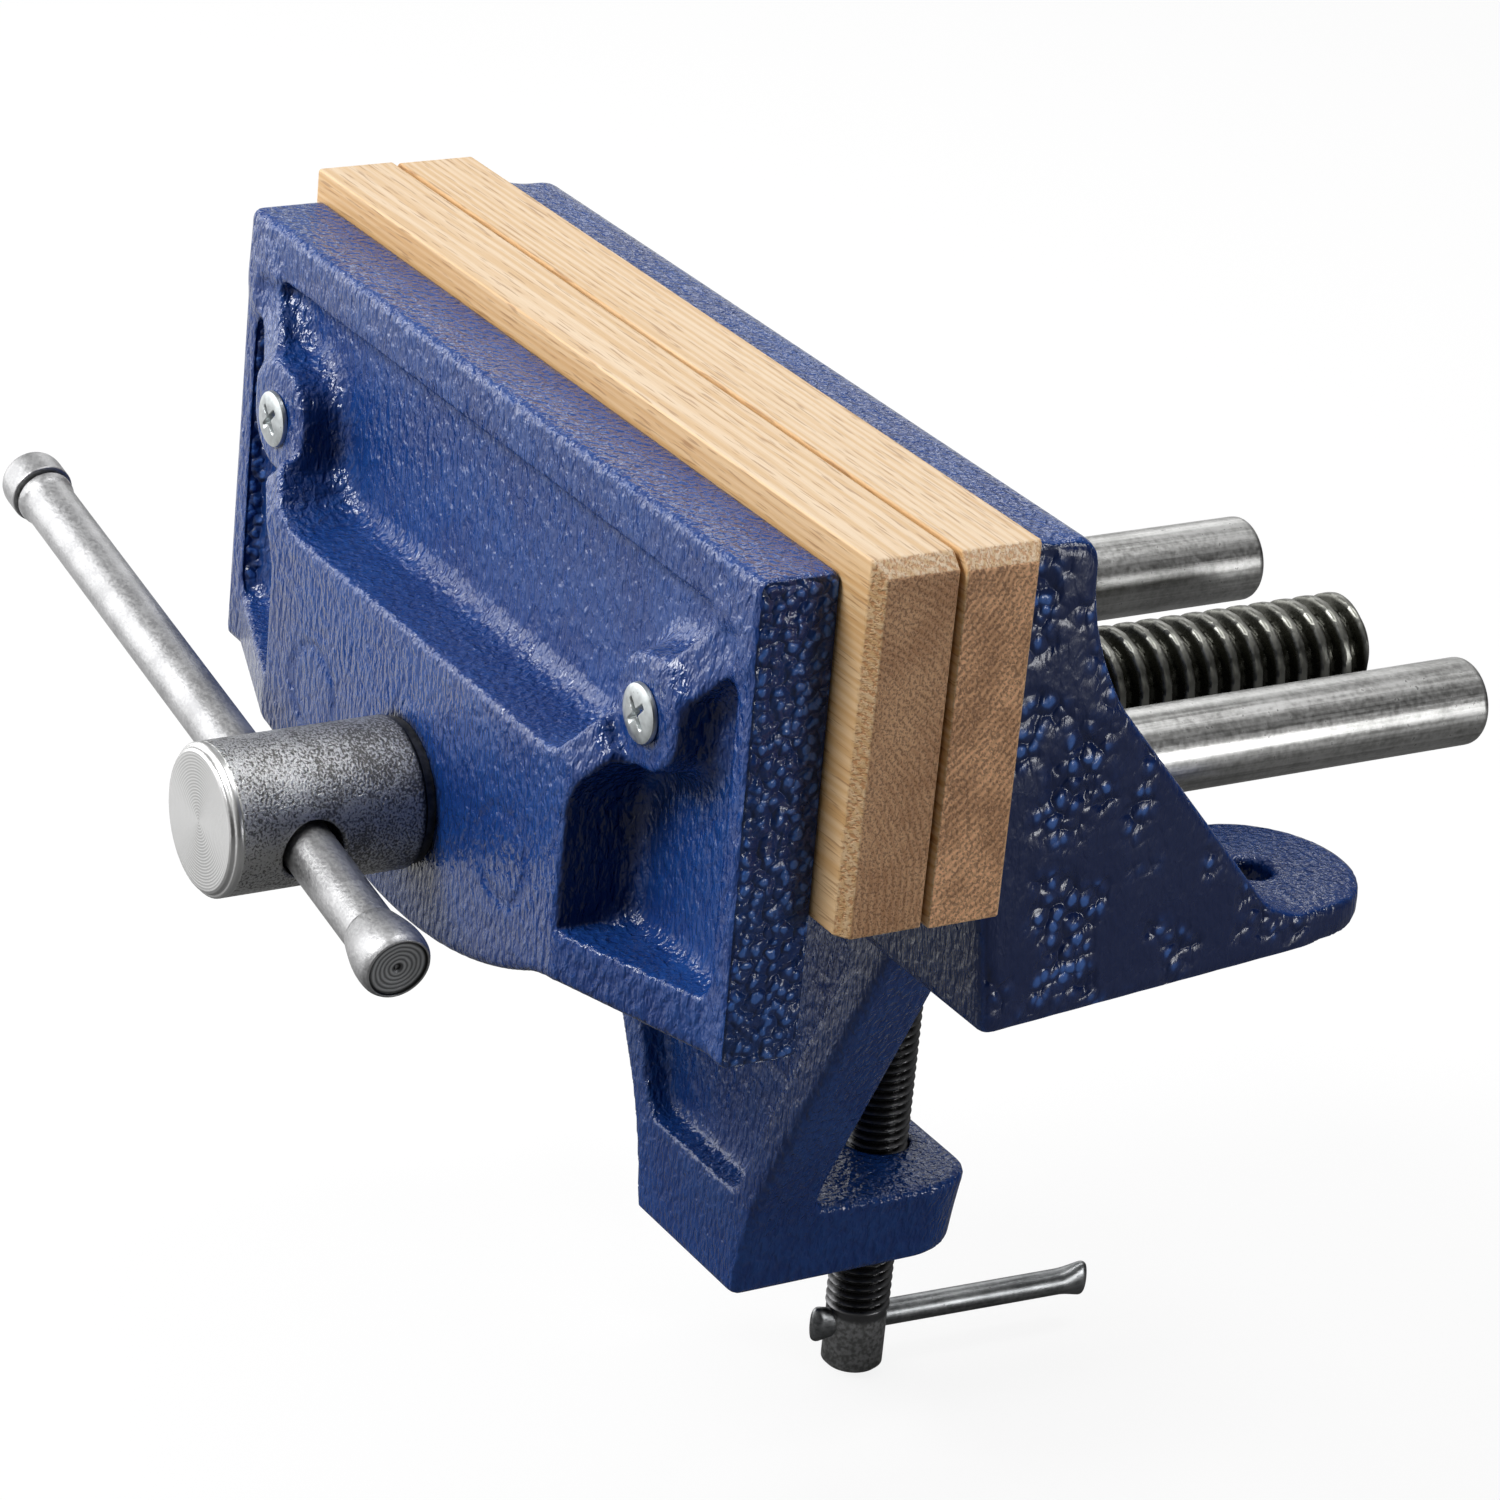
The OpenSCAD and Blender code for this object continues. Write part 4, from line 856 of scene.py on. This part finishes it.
def headField(x, y, z):
    s = screwHead
    up = z - rearJaw["screwZ"]
    away = np.hypot(x, up)
    body = meet(away - s["r"], -y - s["front"] + s["stepIn"], s["frontRound"])
    body = np.minimum(body, meet(away - s["stepR"], -y - s["front"], s["frontRound"]))
    body = meet(body, s["back"] + y, s["backRound"])
    across = np.hypot(y - s["barY"], x * barUp[0] + up * barUp[2])
    return cut(body, across - s["holeR"], s["holeRound"])


low = (-screwHead["r"], -screwHead["front"], rearJaw["screwZ"] - screwHead["r"])
high = (screwHead["r"], -screwHead["back"], rearJaw["screwZ"] + screwHead["r"])
points, faces = skin(headField, low, high, screwHead["step"])
addPiece("spindle_head", points, faces, looks["head"], "spindle", "head_steel", ["screw_head"])


# Handle bar with its forged knob, and the pressed cap

handle = {"r": 4.65, "far": -109.0, "near": 45.4, "knobR": 6.25, "knobL": 10.5, "knobSwell": 5.5,
          "knobEdge": 1.2, "neck": (0.3, 0.25), "tenonR": 3.0, "tenonL": 4.0, "lipR": 5.15, "lipL": 1.5,
          "lipFall": 1.2, "faceR": 5.25, "faceRim": 0.35, "faceSink": 0.35, "faceStep": 0.25, "punchR": 0.9,
          "punchDepth": 1.1, "capR": 5.7, "capL": 7.3, "capWall": 2.0, "gap": 0.6, "barSteps": 6, "capSteps": 8}


def handleRod():
    # the rounding at each corner stands at the end of its row
    s = handle
    shoulder = s["far"] + s["capL"] + s["gap"]
    lip = shoulder + s["lipL"]
    knob, near = s["near"] - s["knobL"], s["near"]
    sunk = near - s["faceSink"]
    rows = [(shoulder - s["tenonL"], 0, 0), (shoulder - s["tenonL"], s["tenonR"], 0.2),
            (shoulder, s["tenonR"], 0.2), (shoulder, s["lipR"], 0.5),
            (lip, s["lipR"], 0.7), (lip + s["lipFall"], s["r"], 1.5),
            (knob, s["r"], 0.2), (knob + s["neck"][0], s["r"] + s["neck"][1], 1.6),
            (knob + s["knobSwell"], s["knobR"], 3.0), (near - s["knobEdge"], s["knobR"], 1.6),
            (near, s["faceR"] + s["faceRim"], 0.2), (near, s["faceR"], 0.1),
            (sunk, s["faceR"] - s["faceStep"], 0.1), (sunk, s["punchR"], 0.2), (near - s["punchDepth"], 0, 0)]
    rows = np.array(rows)
    return turned(eased(rows[:, :2], rows[:, 2], s["barSteps"]), barBase, barAxis)


def handleCap():
    s = handle
    mouth, wall = s["far"] + s["capL"], s["far"] + s["capWall"]
    rows = np.array([(s["far"], 0, 0), (s["far"], s["capR"], 3.2), (mouth, s["capR"], 0.5),
                     (mouth, s["tenonR"], 0.2), (wall, s["tenonR"], 0.1), (wall, 0, 0)])
    return turned(eased(rows[:, :2], rows[:, 2], s["capSteps"]), barBase, barAxis)


looks["handle"] = handleSteel("handleSteel", barBase * mm, barAxis, handle["near"] * mm, handle["faceR"] * mm)
addPiece("handle_rod", *handleRod(), looks["handle"], "handle", "handle_steel", ["handle_bar"])
addPiece("handle_end_cap", *handleCap(), looks["handle"], "handle", "handle_steel", ["handle_cap"])


# Tommy bar: an oval section that spreads and flattens at both ends

tommy = {"r": 2.5, "short": -9.4, "long": 49.5, "endHalfW": 3.7, "endHalfT": 1.8, "endL": 6.5, "domeL": 1.5,
         "tipW": 0.55, "z": -112.4, "angle": 3.5, "endRows": 24, "columns": 48}


def tommyBar():
    s = tommy
    reach = np.concatenate([np.linspace(s["short"], s["short"] + s["endL"], s["endRows"]),
                            np.linspace(s["long"] - s["endL"], s["long"], s["endRows"])])
    toEnd = np.minimum(reach - s["short"], s["long"] - reach)
    flat = np.clip(1 - toEnd / s["endL"], 0, 1)
    flat = flat * flat * (3 - 2 * flat)
    dome = np.sqrt(np.clip(1 - (1 - np.clip(toEnd / s["domeL"], 0, 1)) ** 2, 0, 1))
    wide = (s["r"] + (s["endHalfW"] - s["r"]) * flat) * (s["tipW"] + (1 - s["tipW"]) * dome)
    thick = (s["r"] + (s["endHalfT"] - s["r"]) * flat) * dome
    wide[[0, -1]] = 0
    turn = np.linspace(0, 2 * np.pi, s["columns"], endpoint=False)[:, None]
    lean = math.radians(s["angle"])
    along = np.array([math.sin(lean), math.cos(lean), 0])
    side = np.array([math.cos(lean), -math.sin(lean), 0])
    up = np.array([0, 0, 1])
    base = np.array([*rearJaw["clampPlace"], s["z"]])
    rim = thick[:, None, None] * np.cos(turn) * side + wide[:, None, None] * np.sin(turn) * up
    points = base + reach[:, None, None] * along + rim
    return points.reshape(-1, 3), gridFaces(len(reach), len(turn))


addPiece("tommy_rod", *tommyBar(), looks["tommy"], "tommy", "zinc_steel", ["tommy_bar"])


# Pieces that keep their solids take a finish

kept = {"rod_pins": "rod", "thrust_washer": "black", "retaining_collar": "rod", "collar_pin": "rod",
        "spindle_nut": "iron", "nut_lock_screw": "black", "clamp_pad": "black"}
for node, look in kept.items():
    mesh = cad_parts[node].data
    mesh.materials.clear()
    mesh.materials.append(looks[look])
print("kept solids finished:", len(kept))


# Floor, light and camera

studio = {"floorZ": -0.1225, "floorHalf": 4.0, "floorRough": 0.9, "floorTone": 0.135, "floorSeen": 0.95,
          "floorGlow": 0.87, "floorMirrored": 0.9, "floorFade": (0.05, 0.25), "ambient": 0.3,
          "mirrored": 0.55, "brightSide": (-0.6, -0.3, 0.75), "dimmest": 0.02, "skyFade": (-0.3, 0.7),
          "aim": (0, -0.03, 0.01),
          "lamps": [("keyLamp", (-0.22, -1.15, 1.0), 0.6, 21.0), ("topLamp", (0.15, 0.35, 1.3), 0.5, 7.5),
                    ("lowLamp", (-0.85, -0.62, 0.12), 1.1, 9.0), ("rimLamp", (1.05, 0.62, 0.12), 0.32, 4.4),
                    ("backLamp", (-0.9, 0.6, 0.6), 0.5, 1.5)]}


def paleFloor():
    half, z = studio["floorHalf"], studio["floorZ"]
    mesh = bpy.data.meshes.new("paleFloor")
    corners = [(-half, -half, z), (half, -half, z), (half, half, z), (-half, half, z)]
    mesh.from_pydata(corners, [], [(0, 1, 2, 3)])
    floor = bpy.data.objects.new("paleFloor", mesh)
    bpy.context.scene.collection.objects.link(floor)
    look = Finish("paleFloor", Roughness=studio["floorRough"])
    seen = look.add("ShaderNodeLightPath", output="Is Camera Ray")
    look.set("Base Color", look.tint(seen, 3 * [studio["floorTone"]], 3 * [studio["floorSeen"]]))
    # the floor shows white to the camera, and to metal and gloss on the bright side
    mirrored = look.add("ShaderNodeLightPath", output="Is Glossy Ray")
    x, y, _ = look.parts(look.place())
    bright = look.ramp(x * studio["brightSide"][0] + y * studio["brightSide"][1], *studio["floorFade"])
    glow = look.add("ShaderNodeEmission", None, {"Color": (1, 1, 1, 1), "Strength": 1.0})
    share = look.bigger(seen * studio["floorGlow"], mirrored * bright * studio["floorMirrored"])
    mix = look.add("ShaderNodeMixShader", None, {0: share, 1: Wire(look, look.shader.outputs[0]), 2: glow})
    look.tree.links.new(mix.socket, look.tree.nodes["Material Output"].inputs["Surface"])
    mesh.materials.append(look.material)


def studioLight():
    world = bpy.data.worlds.new("studio")
    bpy.context.scene.world = world
    world.use_nodes = True
    graph = Graph(world.node_tree)

    def path(name):
        return graph.add("ShaderNodeLightPath", output=name)

    seen = graph.bigger(path("Is Camera Ray"), path("Is Transmission Ray"))
    # the surroundings fade from white on the bright side to dim on the other
    ahead = graph.add("ShaderNodeTexCoord", output="Generated")
    toward = graph.vector("DOT_PRODUCT", ahead, studio["brightSide"], output=1)
    fade = graph.ramp(toward, *studio["skyFade"], studio["dimmest"], 1.0)
    level = fade * (studio["ambient"] + (studio["mirrored"] - studio["ambient"]) * path("Is Glossy Ray"))
    back = world.node_tree.nodes["Background"]
    back.inputs["Color"].default_value = (1, 1, 1, 1)
    graph.feed(back.inputs["Strength"], graph.bigger(seen, level))
    aim = Vector(studio["aim"])
    for name, place, size, power in studio["lamps"]:
        lamp = bpy.data.lights.new(name, "AREA")
        lamp.size = size
        lamp.energy = power
        holder = bpy.data.objects.new(name, lamp)
        holder.location = place
        holder.rotation_euler = (aim - Vector(place)).to_track_quat("-Z", "Y").to_euler()
        bpy.context.scene.collection.objects.link(holder)


view = {"place": (0.7284, -0.4728, 0.3929), "azimuth": 57.58, "elevation": 23.98, "roll": -5.59,
        "lens": 130.2, "sensor": 36.0, "clip": 0.01}


def photoCamera():
    az, el, roll = [math.radians(view[key]) for key in ("azimuth", "elevation", "roll")]
    level = Vector((math.cos(az), math.sin(az), 0))
    ahead = Vector((-math.sin(az) * math.cos(el), math.cos(az) * math.cos(el), -math.sin(el)))
    right = level * math.cos(roll) + ahead.cross(level) * math.sin(roll)
    down = ahead.cross(right)
    lens = bpy.data.cameras.new("photoCamera")
    lens.sensor_width = view["sensor"]
    lens.lens = view["lens"]
    lens.clip_start = view["clip"]
    camera = bpy.data.objects.new("photoCamera", lens)
    turn = Matrix((right, -down, -ahead)).transposed()
    camera.matrix_world = Matrix.Translation(view["place"]) @ turn.to_4x4()
    bpy.context.scene.collection.objects.link(camera)
    bpy.context.scene.camera = camera


paleFloor()
studioLight()
photoCamera()
bpy.context.scene.view_settings.view_transform = "Standard"
print("studio ready")
